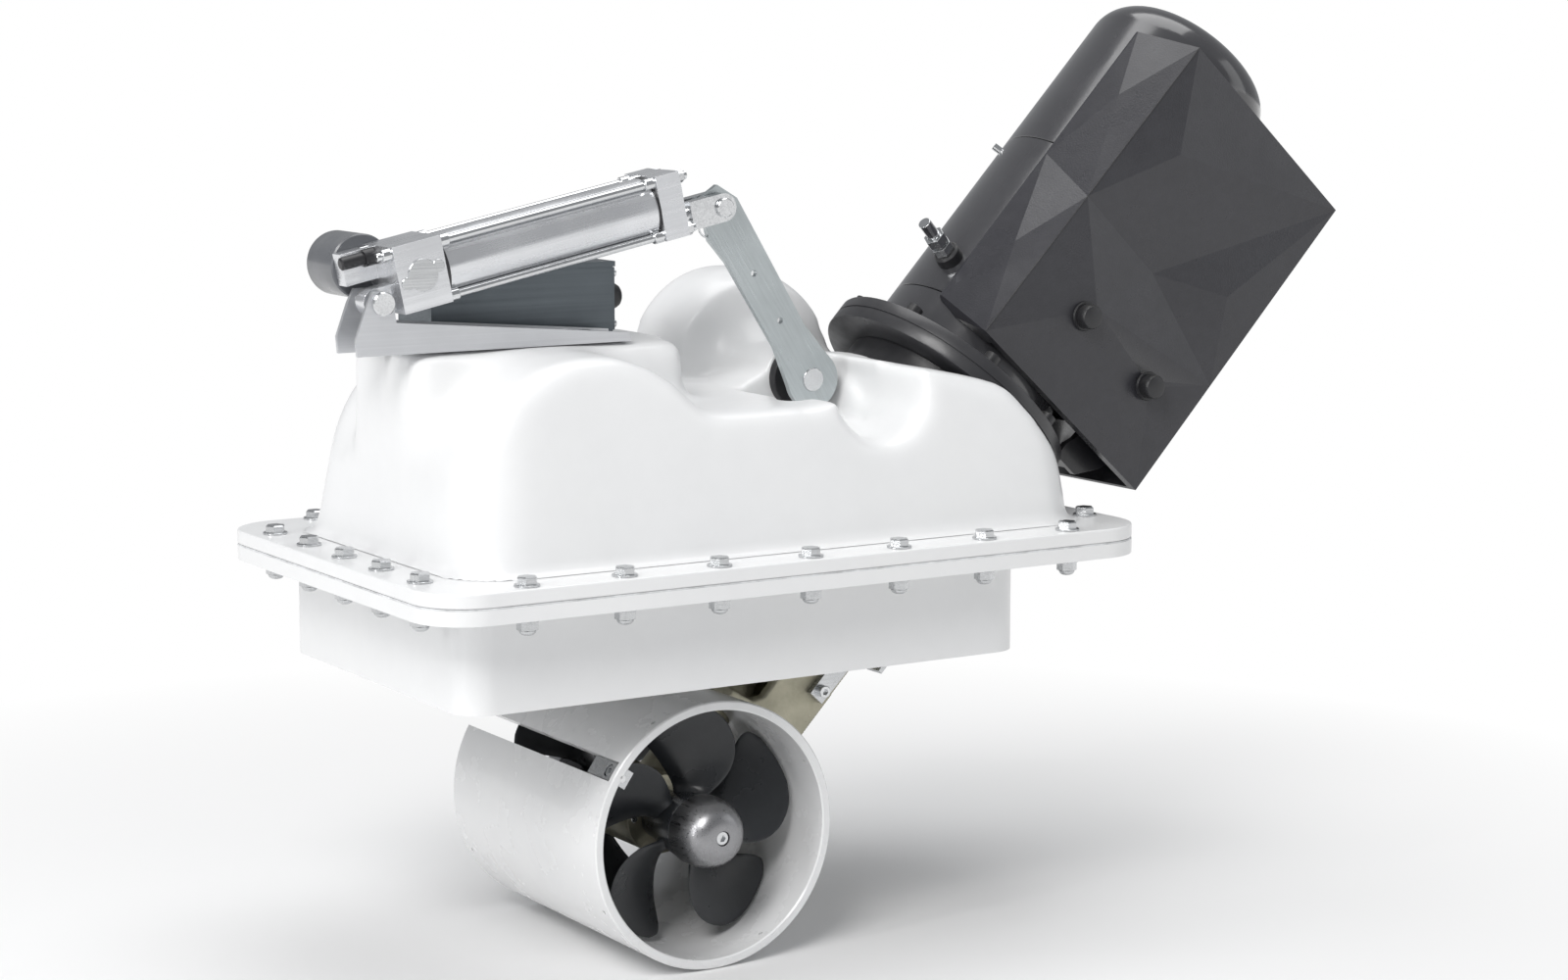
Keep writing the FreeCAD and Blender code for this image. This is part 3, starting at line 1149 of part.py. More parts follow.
# ---------------------------------------------------------------- write the nodes
def main():
    save("hull_trunk", hull_trunk())
    save("flange_gasket", flange_gasket())
    save("flange_bolts", compound([flange_bolt(x, y) for x, y in bolt_centres()]))
    save("flange_nuts", compound([flange_nut(x, y) for x, y in bolt_centres()]))
    save("upper_housing", upper_housing())

    save("tunnel", tunnel())
    save("tunnel_clamp", clamp_block())
    save("leg_casting", leg_casting())
    save("gearcase_caps", compound([gearcase_cap(-1), gearcase_cap(1)]))
    save("leg_bearings", compound([leg_bearing(s) for s in (44.0, 190.0)]))
    save("side_straps", compound([side_strap(-1), side_strap(1)]))
    save("leg_link_pin", leg_link_pin())

    save("leg_shaft", leg_shaft())
    save("bevel_pinion", pinion())
    for side, name in ((-1, "front"), (1, "rear")):
        save(name + "_crown_gear", crown_gear(side))
        save(name + "_propeller_shaft", prop_shaft(side))
        save(name + "_propeller", propeller(side, 2.0 if side < 0 else 38.0))
        save(name + "_nose_cone", nose_cone(side))

    save("pivot_bracket", pivot_bracket())
    save("pivot_pins", compound([pivot_pin(-1), pivot_pin(1)]))
    save("joint_cup", joint_cup())
    save("motor_shaft", motor_shaft())
    save("motor_rotor", motor_rotor())
    save("motor_base", motor_base())
    save("motor_flange", motor_flange())
    save("motor_end_ring", motor_end_ring())
    save("motor_casing", terminal_holes(motor_body()))
    save("motor_cap", motor_cap())
    save("motor_stator", motor_stator())
    studs, nuts = terminals()
    save("terminal_studs", studs)
    save("terminal_nuts", nuts)
    save("motor_cover", motor_cover())
    save("cover_knobs", compound([cover_knob(x, z) for x, z in KNOBS]))
    save("controller_case", controller_case())
    save("controller_bracket", controller_bracket())

    save("shaft_bushes", compound([front_bush(), shaft_bush((44.0, 66.0))]))
    save("lever_shaft", lever_shaft())
    save("lever_arm", lever_arm())
    save("inner_crank", inner_crank())
    save("crank_pin", crank_pin())
    save("connecting_link", link_bar())

    save("actuator_bracket", actuator_bracket())
    save("bracket_pin", bracket_pin())
    save("actuator_rear_head", actuator_rear_head())
    save("actuator_casing", actuator_casing())
    save("actuator_front_head", actuator_front_head())
    save("tie_rods", compound([tie_rod(y, z) for y in (-TIE_Y, TIE_Y) for z in TIE_Z]))
    save("actuator_motor", actuator_motor())
    save("lead_screw", lead_screw())
    save("piston_rod", piston_rod())
    save("screw_nut", screw_nut())
    save("rod_fork", rod_fork())
    save("fork_pins", compound(fork_pins()))
    save("control_box", control_box())
    save("control_box_lid", control_lid())
    save("cable_gland", cable_gland())


main()
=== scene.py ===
import json
import math

import bmesh
import bpy
from mathutils import Matrix, Vector


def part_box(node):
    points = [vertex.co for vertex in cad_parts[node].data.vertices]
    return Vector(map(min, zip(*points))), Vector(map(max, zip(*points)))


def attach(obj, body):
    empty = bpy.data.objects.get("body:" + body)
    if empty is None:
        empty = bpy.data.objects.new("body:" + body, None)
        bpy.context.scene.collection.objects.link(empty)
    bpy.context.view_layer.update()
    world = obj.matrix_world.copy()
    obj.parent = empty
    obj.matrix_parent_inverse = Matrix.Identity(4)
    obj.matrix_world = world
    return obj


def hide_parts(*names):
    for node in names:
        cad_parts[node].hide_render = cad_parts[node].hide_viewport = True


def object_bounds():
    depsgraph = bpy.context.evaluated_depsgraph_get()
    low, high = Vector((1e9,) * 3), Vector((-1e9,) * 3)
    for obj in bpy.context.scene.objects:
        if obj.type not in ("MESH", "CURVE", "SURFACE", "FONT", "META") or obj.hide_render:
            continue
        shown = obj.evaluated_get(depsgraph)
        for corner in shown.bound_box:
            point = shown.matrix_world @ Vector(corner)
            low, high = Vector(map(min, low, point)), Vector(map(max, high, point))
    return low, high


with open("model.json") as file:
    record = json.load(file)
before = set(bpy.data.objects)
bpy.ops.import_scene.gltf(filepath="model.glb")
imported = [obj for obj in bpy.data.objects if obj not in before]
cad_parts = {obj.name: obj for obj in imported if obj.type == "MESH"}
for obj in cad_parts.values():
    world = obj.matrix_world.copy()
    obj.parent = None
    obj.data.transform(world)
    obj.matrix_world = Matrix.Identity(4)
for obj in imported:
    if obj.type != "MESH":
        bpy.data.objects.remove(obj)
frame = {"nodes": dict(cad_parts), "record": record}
NODES = frame["nodes"]
BODY_OF = {n: b for b, members in frame["record"]["behaviour"]["bodies"].items() for n in members}
SLOT_OF = {s["node"]: s["material_slot"] for s in frame["record"]["subparts"]}
BEFORE = [list(v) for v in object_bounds()]

# ---------------------------------------------------------------- driving dimensions, mm
TOP_Z = 92.5                    # top face of the upper flange
FLANGE_THICK = 10.5
LOWER_FLANGE_Z = 70.3           # under side of the lower flange
FLANGE_X = 27.45                # middle of both flanges
FLANGE_HALF = (298.3, 185.7)
BOLT_LINE = (281.0, 173.6)      # bolt rows from the middle
BOLT_PITCH = (75.4, 61.25)
WASHER = 1.6
SLOPE = 46.8                    # motor and leg axis above the horizontal
LEG_PIVOT = Vector((195.5, 0, 107.5))
AXIS = Vector((math.cos(math.radians(SLOPE)), 0, math.sin(math.radians(SLOPE))))
TUNNEL_C = LEG_PIVOT - AXIS * 308.9
TUNNEL_BORE = 92.5              # radius
TUNNEL_R = 99.4
TUNNEL_HALF = 113.6
BLADE_Y = 66.0                  # middle of the blades from the tunnel's middle
BLADES = 5
PITCH = 190.0                   # advance of a blade in one turn
NOSE_R = 26.5
MOTOR_SEAT = LEG_PIVOT + AXIS * 63.4
MOTOR_R = 79.0
CASING_BORE = 73.0
FLANGE_DISC_R = 105.0
TERMINAL_X = 107.0
TERMINAL_ANGLES = (12.0, -100.0)
SHAFT = Vector((125.45, 0, 198.5))
SHAFT_R = 9.05
PIN_BACK = Vector((-238.0, -20.0, 274.4))
PIN_FRONT = Vector((41.0, -20.0, 331.9))
ROD_SLOPE = math.degrees(math.atan2(PIN_FRONT.z - PIN_BACK.z, PIN_FRONT.x - PIN_BACK.x))
REACH = (PIN_FRONT - PIN_BACK).length
TUBE = (51.1, 226.9)            # the actuator's tube between its heads
TUBE_R = 23.0
TUBE_Z = 12.5                   # its middle above the line of the pins
TIE_RODS = [(y, z) for y in (-17.5, 17.5) for z in (-7.0, 32.0)]
ALONG = (1, 0, 0)
BACK = (0, 1, 0)
UP = (0, 0, 1)
DOWN = (0, 0, -1)


def sloped(origin, angle):
    """Takes (along, back, up) in mm on a sloping axis to the row frame in metres."""
    turn = Matrix.Rotation(-math.radians(angle), 4, "Y")
    return Matrix.Scale(0.001, 4) @ Matrix.Translation(origin) @ turn


ROW = Matrix.Scale(0.001, 4)
MOTOR = sloped(MOTOR_SEAT, SLOPE)
LEG = sloped(TUNNEL_C, SLOPE)
TUNNEL = Matrix.Scale(0.001, 4) @ Matrix.Translation(TUNNEL_C)
ACTUATOR = sloped(PIN_BACK, ROD_SLOPE)


# ---------------------------------------------------------------- procedural surfaces
class Surface:
    """One material: layered noise in object coordinates drives colour, roughness and relief."""

    def __init__(self, name, tint, rough, metal=0.0):
        self.mat = bpy.data.materials.new(name)
        self.mat.use_nodes = True
        self.tree = self.mat.node_tree
        self.shader = self.tree.nodes["Principled BSDF"]
        self.coords = self.add("ShaderNodeTexCoord").outputs["Object"]
        self.colour = self.rgb(tint)
        self.rough = self.value(rough)
        self.height = None
        self.shader.inputs["Metallic"].default_value = metal

    def add(self, kind, **settings):
        node = self.tree.nodes.new(kind)
        for key, item in settings.items():
            setattr(node, key, item)
        return node

    def link(self, a, b):
        self.tree.links.new(a, b)

    def rgb(self, tint):
        node = self.add("ShaderNodeRGB")
        node.outputs[0].default_value = (*tint, 1)
        return node.outputs[0]

    def value(self, number):
        node = self.add("ShaderNodeValue")
        node.outputs[0].default_value = number
        return node.outputs[0]

    def mapped(self, scale=(1, 1, 1), turn=(0, 0, 0)):
        """Coordinates turned and stretched, for lines along one direction."""
        node = self.add("ShaderNodeMapping")
        node.vector_type = "TEXTURE"
        node.inputs["Rotation"].default_value = turn
        node.inputs["Scale"].default_value = scale
        self.link(self.coords, node.inputs["Vector"])
        return node.outputs[0]

    def noise(self, scale, detail=4.0, rough=0.55, vector=None, twist=0.0):
        """Cloudy pattern from 0 to 1."""
        node = self.add("ShaderNodeTexNoise")
        node.inputs["Scale"].default_value = scale
        node.inputs["Detail"].default_value = detail
        node.inputs["Roughness"].default_value = rough
        node.inputs["Distortion"].default_value = twist
        self.link(vector or self.coords, node.inputs["Vector"])
        return node.outputs["Fac"]

    def cells(self, scale):
        """Fine cells, for a cast or spark-eroded grain."""
        node = self.add("ShaderNodeTexVoronoi", feature="F1")
        node.inputs["Scale"].default_value = scale
        self.link(self.coords, node.inputs["Vector"])
        return node.outputs["Distance"]

    def math(self, kind, a, b):
        node = self.add("ShaderNodeMath", operation=kind)
        for socket, item in zip(node.inputs, (a, b)):
            if isinstance(item, (int, float)):
                socket.default_value = item
            else:
                self.link(item, socket)
        return node.outputs[0]

    def span(self, fac, low, high, start=0.3, end=0.7):
        """Stretch a 0..1 noise so that start..end covers low..high."""
        node = self.add("ShaderNodeMapRange")
        for name, item in (("From Min", start), ("From Max", end), ("To Min", low), ("To Max", high)):
            node.inputs[name].default_value = item
        self.link(fac, node.inputs["Value"])
        return node.outputs[0]

    def stain(self, fac, tint):
        """Blend the colour so far with a tint."""
        node = self.add("ShaderNodeMix", data_type="RGBA", blend_type="MIX")
        self.link(fac, node.inputs["Factor"])
        self.link(self.colour, node.inputs[6])
        node.inputs[7].default_value = (*tint, 1)
        self.colour = node.outputs[2]
        return self

    def vary(self, scale, amount):
        """Lighter and darker clouds."""
        cloud = self.span(self.noise(scale, 5.0), 1.0 - amount, 1.0 + amount)
        node = self.add("ShaderNodeMix", data_type="RGBA", blend_type="MULTIPLY")
        node.inputs["Factor"].default_value = 1.0
        self.link(self.colour, node.inputs[6])
        self.link(cloud, node.inputs[7])
        self.colour = node.outputs[2]
        return self

    def rub(self, fac, amount):
        """Add a noise, centred on zero, to the roughness."""
        self.rough = self.math("ADD", self.rough, self.span(fac, -amount, amount))
        return self

    def relief(self, fac, depth):
        """Add height in metres."""
        part = self.math("MULTIPLY", fac, depth)
        self.height = part if self.height is None else self.math("ADD", self.height, part)
        return self

    def upward(self):
        """1 on faces that look up, 0 on the others."""
        geometry = self.add("ShaderNodeNewGeometry")
        parts = self.add("ShaderNodeSeparateXYZ")
        self.link(geometry.outputs["Normal"], parts.inputs[0])
        return self.span(parts.outputs["Z"], 0.0, 1.0, 0.3, 1.0)

    def dust(self, amount, tint=(0.45, 0.44, 0.42)):
        """Thin handling dust that lies on upward faces."""
        patch = self.span(self.noise(38.0, 6.0, 0.65), 0.0, amount, 0.42, 0.72)
        layer = self.math("MULTIPLY", self.upward(), patch)
        self.stain(layer, tint)
        self.rough = self.math("ADD", self.rough, self.math("MULTIPLY", layer, 0.5))
        return self

    def done(self, coat=0.0, coat_rough=0.1):
        """Join colour, roughness and relief to the shader."""
        self.link(self.colour, self.shader.inputs["Base Color"])
        clamp = self.add("ShaderNodeClamp")
        clamp.inputs["Min"].default_value = 0.04
        self.link(self.rough, clamp.inputs["Value"])
        self.link(clamp.outputs[0], self.shader.inputs["Roughness"])
        if self.height is not None:
            bump = self.add("ShaderNodeBump")
            bump.inputs["Strength"].default_value = 1.0
            bump.inputs["Distance"].default_value = 1.0
            self.link(self.height, bump.inputs["Height"])
            self.link(bump.outputs["Normal"], self.shader.inputs["Normal"])
        self.shader.inputs["Coat Weight"].default_value = coat
        self.shader.inputs["Coat Roughness"].default_value = coat_rough
        return self.mat


def laminate(name, tint, rough):
    """Gelcoat: faint clouds, slight yellowing, fine orange peel, a soft gloss."""
    s = Surface(name, tint, rough)
    s.vary(9.0, 0.014).vary(60.0, 0.008)
    s.stain(s.span(s.noise(5.0, 3.0), 0.0, 0.2, 0.45, 0.8), (0.78, 0.78, 0.755))
    s.rub(s.noise(26.0, 5.0), 0.06)
    s.relief(s.noise(180.0, 2.0), 0.00004).relief(s.noise(16.0, 2.0), 0.00018)
    return s.done(coat=0.25, coat_rough=0.12)


def rubber(name, tint):
    """Sheet rubber: dull, cloudy, with a fine grain and some dust."""
    s = Surface(name, tint, 0.72)
    s.vary(80.0, 0.25)
    s.rub(s.noise(120.0, 4.0), 0.1)
    s.relief(s.noise(900.0, 3.0), 0.00004)
    return s.dust(0.25).done()


def brushed(name, tint, rough, turn, grain=0.00003, stretch=60.0):
    """Metal with fine lines along one direction, a few handling marks and soft clouds."""
    s = Surface(name, tint, rough, 1.0)
    lines = s.noise(900.0, 3.0, 0.6, s.mapped((stretch, 1, 1), turn))
    s.vary(22.0, 0.07)
    s.stain(s.span(lines, 0.0, 0.22), tuple(0.68 * c for c in tint))
    s.rub(lines, 0.12).rub(s.noise(14.0, 5.0), 0.07)
    s.stain(s.span(s.noise(55.0, 8.0, 0.75), 0.0, 0.2, 0.62, 0.8), tuple(0.5 * c for c in tint))
    return s.relief(lines, grain).done()


def cast_bronze(name, tint):
    """Sand-cast bronze: grainy relief, brown and green-grey clouds, brighter high spots."""
    s = Surface(name, tint, 0.40, 0.75)
    s.vary(14.0, 0.16).vary(90.0, 0.10)
    s.stain(s.span(s.noise(20.0, 6.0, 0.7), 0.0, 0.55, 0.5, 0.75), (0.20, 0.19, 0.13))
    s.stain(s.span(s.noise(33.0, 6.0, 0.7, twist=0.6), 0.0, 0.4, 0.58, 0.8), (0.36, 0.36, 0.27))
    s.rub(s.noise(45.0, 6.0), 0.13)
    s.relief(s.cells(420.0), 0.00010).relief(s.noise(160.0, 5.0), 0.00022)
    return s.done()


def painted(name, tint, rough, peel=0.00004, coat=0.3, dust=0.12):
    """Paint on metal: orange peel, small dull patches, fine specks."""
    s = Surface(name, tint, rough)
    s.vary(18.0, 0.10)
    s.rub(s.noise(30.0, 6.0, 0.65), 0.09)
    s.stain(s.span(s.noise(240.0, 4.0), 0.0, 0.25, 0.66, 0.8), tuple(min(1, 2.2 * c + 0.02) for c in tint))
    s.relief(s.noise(260.0, 2.0), peel).relief(s.noise(40.0, 2.0), peel * 2)
    return s.dust(dust).done(coat=coat, coat_rough=0.16)


def moulded(name, tint, rough, cell=700.0, depth=0.00006, dust=0.16):
    """Moulded plastic with a fine spark-eroded grain and slight flow clouds."""
    s = Surface(name, tint, rough)
    s.vary(11.0, 0.09).vary(140.0, 0.07)
    s.rub(s.noise(24.0, 5.0), 0.06)
    s.relief(s.cells(cell), depth).relief(s.noise(70.0, 3.0), depth)
    return s.dust(dust).done()


def anodised(name, tint, rough, turn):
    """Extruded aluminium: long faint die lines under a satin skin."""
    s = Surface(name, tint, rough, 0.85)
    lines = s.noise(500.0, 4.0, 0.6, s.mapped((120.0, 1, 1), turn))
    s.vary(16.0, 0.06)
    s.stain(s.span(lines, 0.0, 0.28), tuple(0.75 * c for c in tint))
    s.rub(lines, 0.07).rub(s.noise(20.0, 5.0), 0.06)
    return s.relief(lines, 0.00002).dust(0.08).done()


def core_iron(name, tint):
    """Stacked core plates: fine bands square to the motor's axis."""
    s = Surface(name, tint, 0.5, 0.9)
    plates = s.add("ShaderNodeTexWave", wave_type="BANDS")
    plates.inputs["Scale"].default_value = 400.0
    s.link(s.mapped((1, 1, 1), (0, -math.radians(SLOPE), 0)), plates.inputs["Vector"])
    s.vary(40.0, 0.12)
    return s.rub(s.noise(60.0), 0.1).relief(plates.outputs["Fac"], 0.0001).done()


UP_SLOPE = (0, -math.radians(SLOPE), 0)
UP_ROD = (0, -math.radians(ROD_SLOPE), 0)
DOWN_LEVER = (0, math.radians(58), 0)
FRONT_TO_BACK = (0, 0, math.radians(90))
FINISH = {
    "white_laminate": laminate("white laminate", (0.76, 0.765, 0.77), 0.34),
    "gasket_rubber": rubber("gasket rubber", (0.62, 0.63, 0.64)),
    "stainless": brushed("stainless steel", (0.60, 0.61, 0.62), 0.27, (0, 0, 0)),
    "bronze": cast_bronze("cast bronze", (0.42, 0.40, 0.31)),
    "duct_white": laminate("white duct moulding", (0.77, 0.775, 0.78), 0.26),
    "lever_steel": brushed("ground lever steel", (0.52, 0.56, 0.57), 0.38, DOWN_LEVER, 0.000008, 30.0),
    "bright_steel": brushed("bright turned steel", (0.70, 0.71, 0.72), 0.16, FRONT_TO_BACK, 0.00001),
    "bearing_black": moulded("black bearing plastic", (0.018, 0.018, 0.020), 0.42),
    "black_casting": painted("satin black paint", (0.010, 0.010, 0.012), 0.34, dust=0.04),
    "charcoal_plate": painted("charcoal flange paint", (0.030, 0.030, 0.033), 0.34, coat=0.15, dust=0.05),
    "motor_paint": painted("gloss motor paint", (0.040, 0.040, 0.044), 0.18, coat=0.8, dust=0.0),
    "core_steel": core_iron("laminated core steel", (0.35, 0.35, 0.36)),
    "cover_moulding": moulded("charcoal cover moulding", (0.032, 0.032, 0.037), 0.30, dust=0.0),
    "knob_black": moulded("black knob plastic", (0.018, 0.018, 0.020), 0.36, 900.0, 0.00003),
    "blade_slate": moulded("slate propeller plastic", (0.022, 0.024, 0.027), 0.30, 500.0, 0.00002, 0.0),
    "nose_metal": brushed("satin nose metal", (0.34, 0.34, 0.35), 0.34, FRONT_TO_BACK, 0.000004),
    "gear_steel": brushed("ground gear steel", (0.48, 0.48, 0.49), 0.3, UP_SLOPE),
    "bracket_alloy": anodised("satin sheet alloy", (0.66, 0.67, 0.69), 0.40, (0, 0, 0)),
    "actuator_alloy": anodised("actuator alloy", (0.74, 0.75, 0.77), 0.26, UP_ROD),
    "actuator_motor_paint": painted("grey actuator motor paint", (0.10, 0.105, 0.115), 0.34),
    "box_alloy": anodised("dark anodised box", (0.14, 0.16, 0.175), 0.40, (0, 0, 0)),
    "nut_brass": brushed("turned brass", (0.70, 0.55, 0.26), 0.28, UP_ROD),
}


# ---------------------------------------------------------------- shapes, in mm
def add_loop(bm, points):
    """Closed loop of edges through the points."""
    verts = [bm.verts.new(p) for p in points]
    return verts, [bm.edges.new(pair) for pair in zip(verts, verts[1:] + verts[:1])]


def add_revolved(bm, outline, base=(0, 0, 0), axis=ALONG, steps=96, side=None):
    """Spin a closed outline of (distance, radius) about an axis, from the given side."""
    axis = Vector(axis)
    if side is None:
        side = Vector(ALONG).rotation_difference(axis) @ Vector(BACK)
    verts, edges = add_loop(bm, [Vector(base) + a * axis + r * side for a, r in outline])
    bmesh.ops.spin(bm, geom=verts + edges, cent=base, axis=axis, angle=math.tau, steps=steps, use_merge=True)


def tube_outline(start, end, inner, outer, chamfer):
    """Section of a tube, its outer edges chamfered."""
    return [(start, inner), (start, outer - chamfer), (start + chamfer, outer), (end - chamfer, outer),
            (end, outer - chamfer), (end, inner)]


def square_outline(start, end, inner, outer):
    """Section of a plain tube."""
    return [(start, inner), (start, outer), (end, outer), (end, inner)]


def add_rod(bm, base, axis, radius, length, chamfer=0.4, steps=48):
    """Solid round rod, disc or pin with chamfered ends."""
    add_revolved(bm, tube_outline(0, length, 0, radius, chamfer), base, axis, steps)


def lift(bm, faces, way):
    """Extrude faces and keep them as the other end."""
    made = bmesh.ops.extrude_face_region(bm, geom=faces, use_keep_orig=True)["geom"]
    bmesh.ops.translate(bm, vec=way, verts=[v for v in made if isinstance(v, bmesh.types.BMVert)])


def add_prism(bm, points, low, high):
    """Extrude an outline in the XZ plane along Y."""
    face = bm.faces.new([bm.verts.new((x, low, z)) for x, z in points])
    lift(bm, [face], (0, high - low, 0))


def add_loft(bm, rings):
    """Bridge closed rings one after another and fill both ends."""
    loops = [add_loop(bm, ring)[1] for ring in rings]
    for low, high in zip(loops, loops[1:]):
        bmesh.ops.bridge_loops(bm, edges=low + high)
    for end in (loops[0], loops[-1]):
        bmesh.ops.edgeloop_fill(bm, edges=end)


def first_corner(axis):
    """Direction, square to an axis, of a hexagon's first corner."""
    return Vector(UP).rotation_difference(Vector(axis)) @ Vector(ALONG)


def add_hexagon(bm, base, axis, flats, height, chamfer=0.8):
    """Hexagonal head or nut with the corners of its outer face chamfered."""
    r = flats / math.sqrt(3)
    outline = [(0, 0), (0, r), (height - chamfer, r), (height, 0.87 * r), (height, 0)]
    add_revolved(bm, outline, base, axis, 6, first_corner(axis))


def add_socket_screw(bm, base, axis, radius, height):
    """Cap screw head: a spun head whose round socket is then drawn out to a hexagon."""
    key = radius * 0.55
    sixth = math.pi / 3
    corner = first_corner(axis)
    outline = [(0, 0), (0, radius), (height - 0.4, radius), (height, radius - 0.5), (height, key),
               (height * 0.45, key), (height * 0.40, 0)]
    others = set(bm.verts)
    add_revolved(bm, outline, base, axis, 24, corner)
    for v in set(bm.verts) - others:
        arm = v.co - Vector(base)
        arm -= arm.dot(Vector(axis)) * Vector(axis)
        if abs(arm.length - key) < 0.001:
            lean = arm.angle(corner) % sixth - sixth / 2
            v.co += arm * (math.cos(sixth / 2) / math.cos(lean) - 1.0)


def rounded_outline(x, y, radius, steps):
    """Rectangle with round corners, as points."""
    points = []
    for cx, cy, start in ((x[1] - radius, y[1] - radius, 0), (x[0] + radius, y[1] - radius, 90),
                          (x[0] + radius, y[0] + radius, 180), (x[1] - radius, y[0] + radius, 270)):
        for i in range(steps + 1):
            t = math.radians(start + 90 * i / steps)
            points.append((cx + radius * math.cos(t), cy + radius * math.sin(t)))
    return points


def add_ring(bm, centre, radius, wire):
    """Round wire bent into a ring in the XZ plane."""
    turns = [math.tau * k / 12 for k in range(12)]
    section = [(wire * math.sin(u), radius + wire * math.cos(u)) for u in turns]
    add_revolved(bm, section, centre, BACK, 48, Vector(ALONG))


def mark_edges(mesh, angle):
    """Smooth shading that stays crisp across edges sharper than the angle."""
    bm = bmesh.new()
    bm.from_mesh(mesh)
    limit = math.radians(angle)
    for face in bm.faces:
        face.smooth = True
    for edge in bm.edges:
        edge.smooth = len(edge.link_faces) == 2 and edge.calc_face_angle(0.0) < limit
    bm.to_mesh(mesh)
    bm.free()


def soften(obj, width, angle=30.0, segments=2):
    """Small real edge radii."""
    mod = obj.modifiers.new("edge radius", "BEVEL")
    mod.width = width * 0.001
    mod.segments = segments
    mod.limit_method = "ANGLE"
    mod.angle_limit = math.radians(angle)
    mod.harden_normals = True
    mod.miter_outer = "MITER_ARC"
    mod.use_clamp_overlap = True


def make(bm, name, body, slot, where=ROW, edge=0.0, angle=30.0, nodes=()):
    """Turn a shape in mm into a piece that rides on a body and shows a finish."""
    bmesh.ops.transform(bm, matrix=where, verts=bm.verts)
    bmesh.ops.remove_doubles(bm, verts=bm.verts, dist=1e-6)
    bmesh.ops.dissolve_degenerate(bm, edges=bm.edges, dist=1e-7)
    bmesh.ops.recalc_face_normals(bm, faces=bm.faces)
    mesh = bpy.data.meshes.new(name)
    bm.to_mesh(mesh)
    bm.free()
    return finish_piece(mesh, name, body, slot, edge, angle, nodes)


def finish_piece(mesh, name, body, slot, edge=0.0, angle=30.0, nodes=()):
    """Put a mesh into the scene with its finish, body and the nodes that it stands for."""
    mark_edges(mesh, angle)
    mesh.materials.clear()
    mesh.materials.append(FINISH[slot])
    obj = bpy.data.objects.new(name.replace(" ", "_"), mesh)
    bpy.context.scene.collection.objects.link(obj)
    if edge:
        soften(obj, edge, angle)
    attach(obj, body)
    if nodes:
        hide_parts(*nodes)
    return obj


def refined(node, edge=0.4, angle=30.0):
    """A clean copy of a construction piece with real edge radii and smooth round faces."""
    bm = bmesh.new()
    bm.from_mesh(NODES[node].data)
    bmesh.ops.remove_doubles(bm, verts=bm.verts, dist=2e-6)
    bmesh.ops.dissolve_limit(bm, angle_limit=math.radians(0.6), verts=bm.verts, edges=bm.edges)
    bmesh.ops.recalc_face_normals(bm, faces=bm.faces)
    name = node.replace("_", " ")
    mesh = bpy.data.meshes.new(name)
    bm.to_mesh(mesh)
    bm.free()
    return finish_piece(mesh, name + " surface", BODY_OF[node], SLOT_OF[node], edge, angle, (node,))


def evaluated(obj):
    """The object's mesh with its modifiers worked in."""
    bpy.context.view_layer.update()
    graph = bpy.context.evaluated_depsgraph_get()
    return bpy.data.meshes.new_from_object(obj.evaluated_get(graph))


def cast_copy(node, voxel, rounds, name, thicken=None):
    """A construction piece remade with an even skin and smoothed, for soft moulded or cast corners."""
    bm = bmesh.new()
    bm.from_mesh(NODES[node].data)
    bmesh.ops.remove_doubles(bm, verts=bm.verts, dist=2e-6)
    if thicken:
        extra = bmesh.new()
        thicken(extra)
        bmesh.ops.transform(extra, matrix=ROW, verts=extra.verts)
        bmesh.ops.remove_doubles(extra, verts=extra.verts, dist=1e-6)
        bmesh.ops.recalc_face_normals(extra, faces=extra.faces)
        part = bpy.data.meshes.new(name + " extra")
        extra.to_mesh(part)
        extra.free()
        bm.from_mesh(part)
    mesh = bpy.data.meshes.new(name)
    bm.to_mesh(mesh)
    bm.free()
    obj = bpy.data.objects.new(name + " work", mesh)
    bpy.context.scene.collection.objects.link(obj)
    skin = obj.modifiers.new("skin", "REMESH")
    skin.mode = "VOXEL"
    skin.voxel_size = voxel * 0.001
    skin.adaptivity = 0.0
    smooth = obj.modifiers.new("smooth", "SMOOTH")
    smooth.factor = 0.5
    smooth.iterations = rounds
    result = evaluated(obj)
    bpy.data.objects.remove(obj)
    lo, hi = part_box(node)
    for v in result.vertices:
        v.co = Vector(min(max(v.co[i], lo[i]), hi[i]) for i in range(3))
    return result


# ---------------------------------------------------------------- trunk, flanges and bolts
def bolt_centres():
    """Seven bolts along each side and five across each end."""
    rows = [(FLANGE_X + i * BOLT_PITCH[0], side * BOLT_LINE[1]) for i in range(-3, 4) for side in (-1, 1)]
    ends = [(FLANGE_X + side * BOLT_LINE[0], i * BOLT_PITCH[1]) for i in range(-2, 3) for side in (-1, 1)]
    return rows + ends


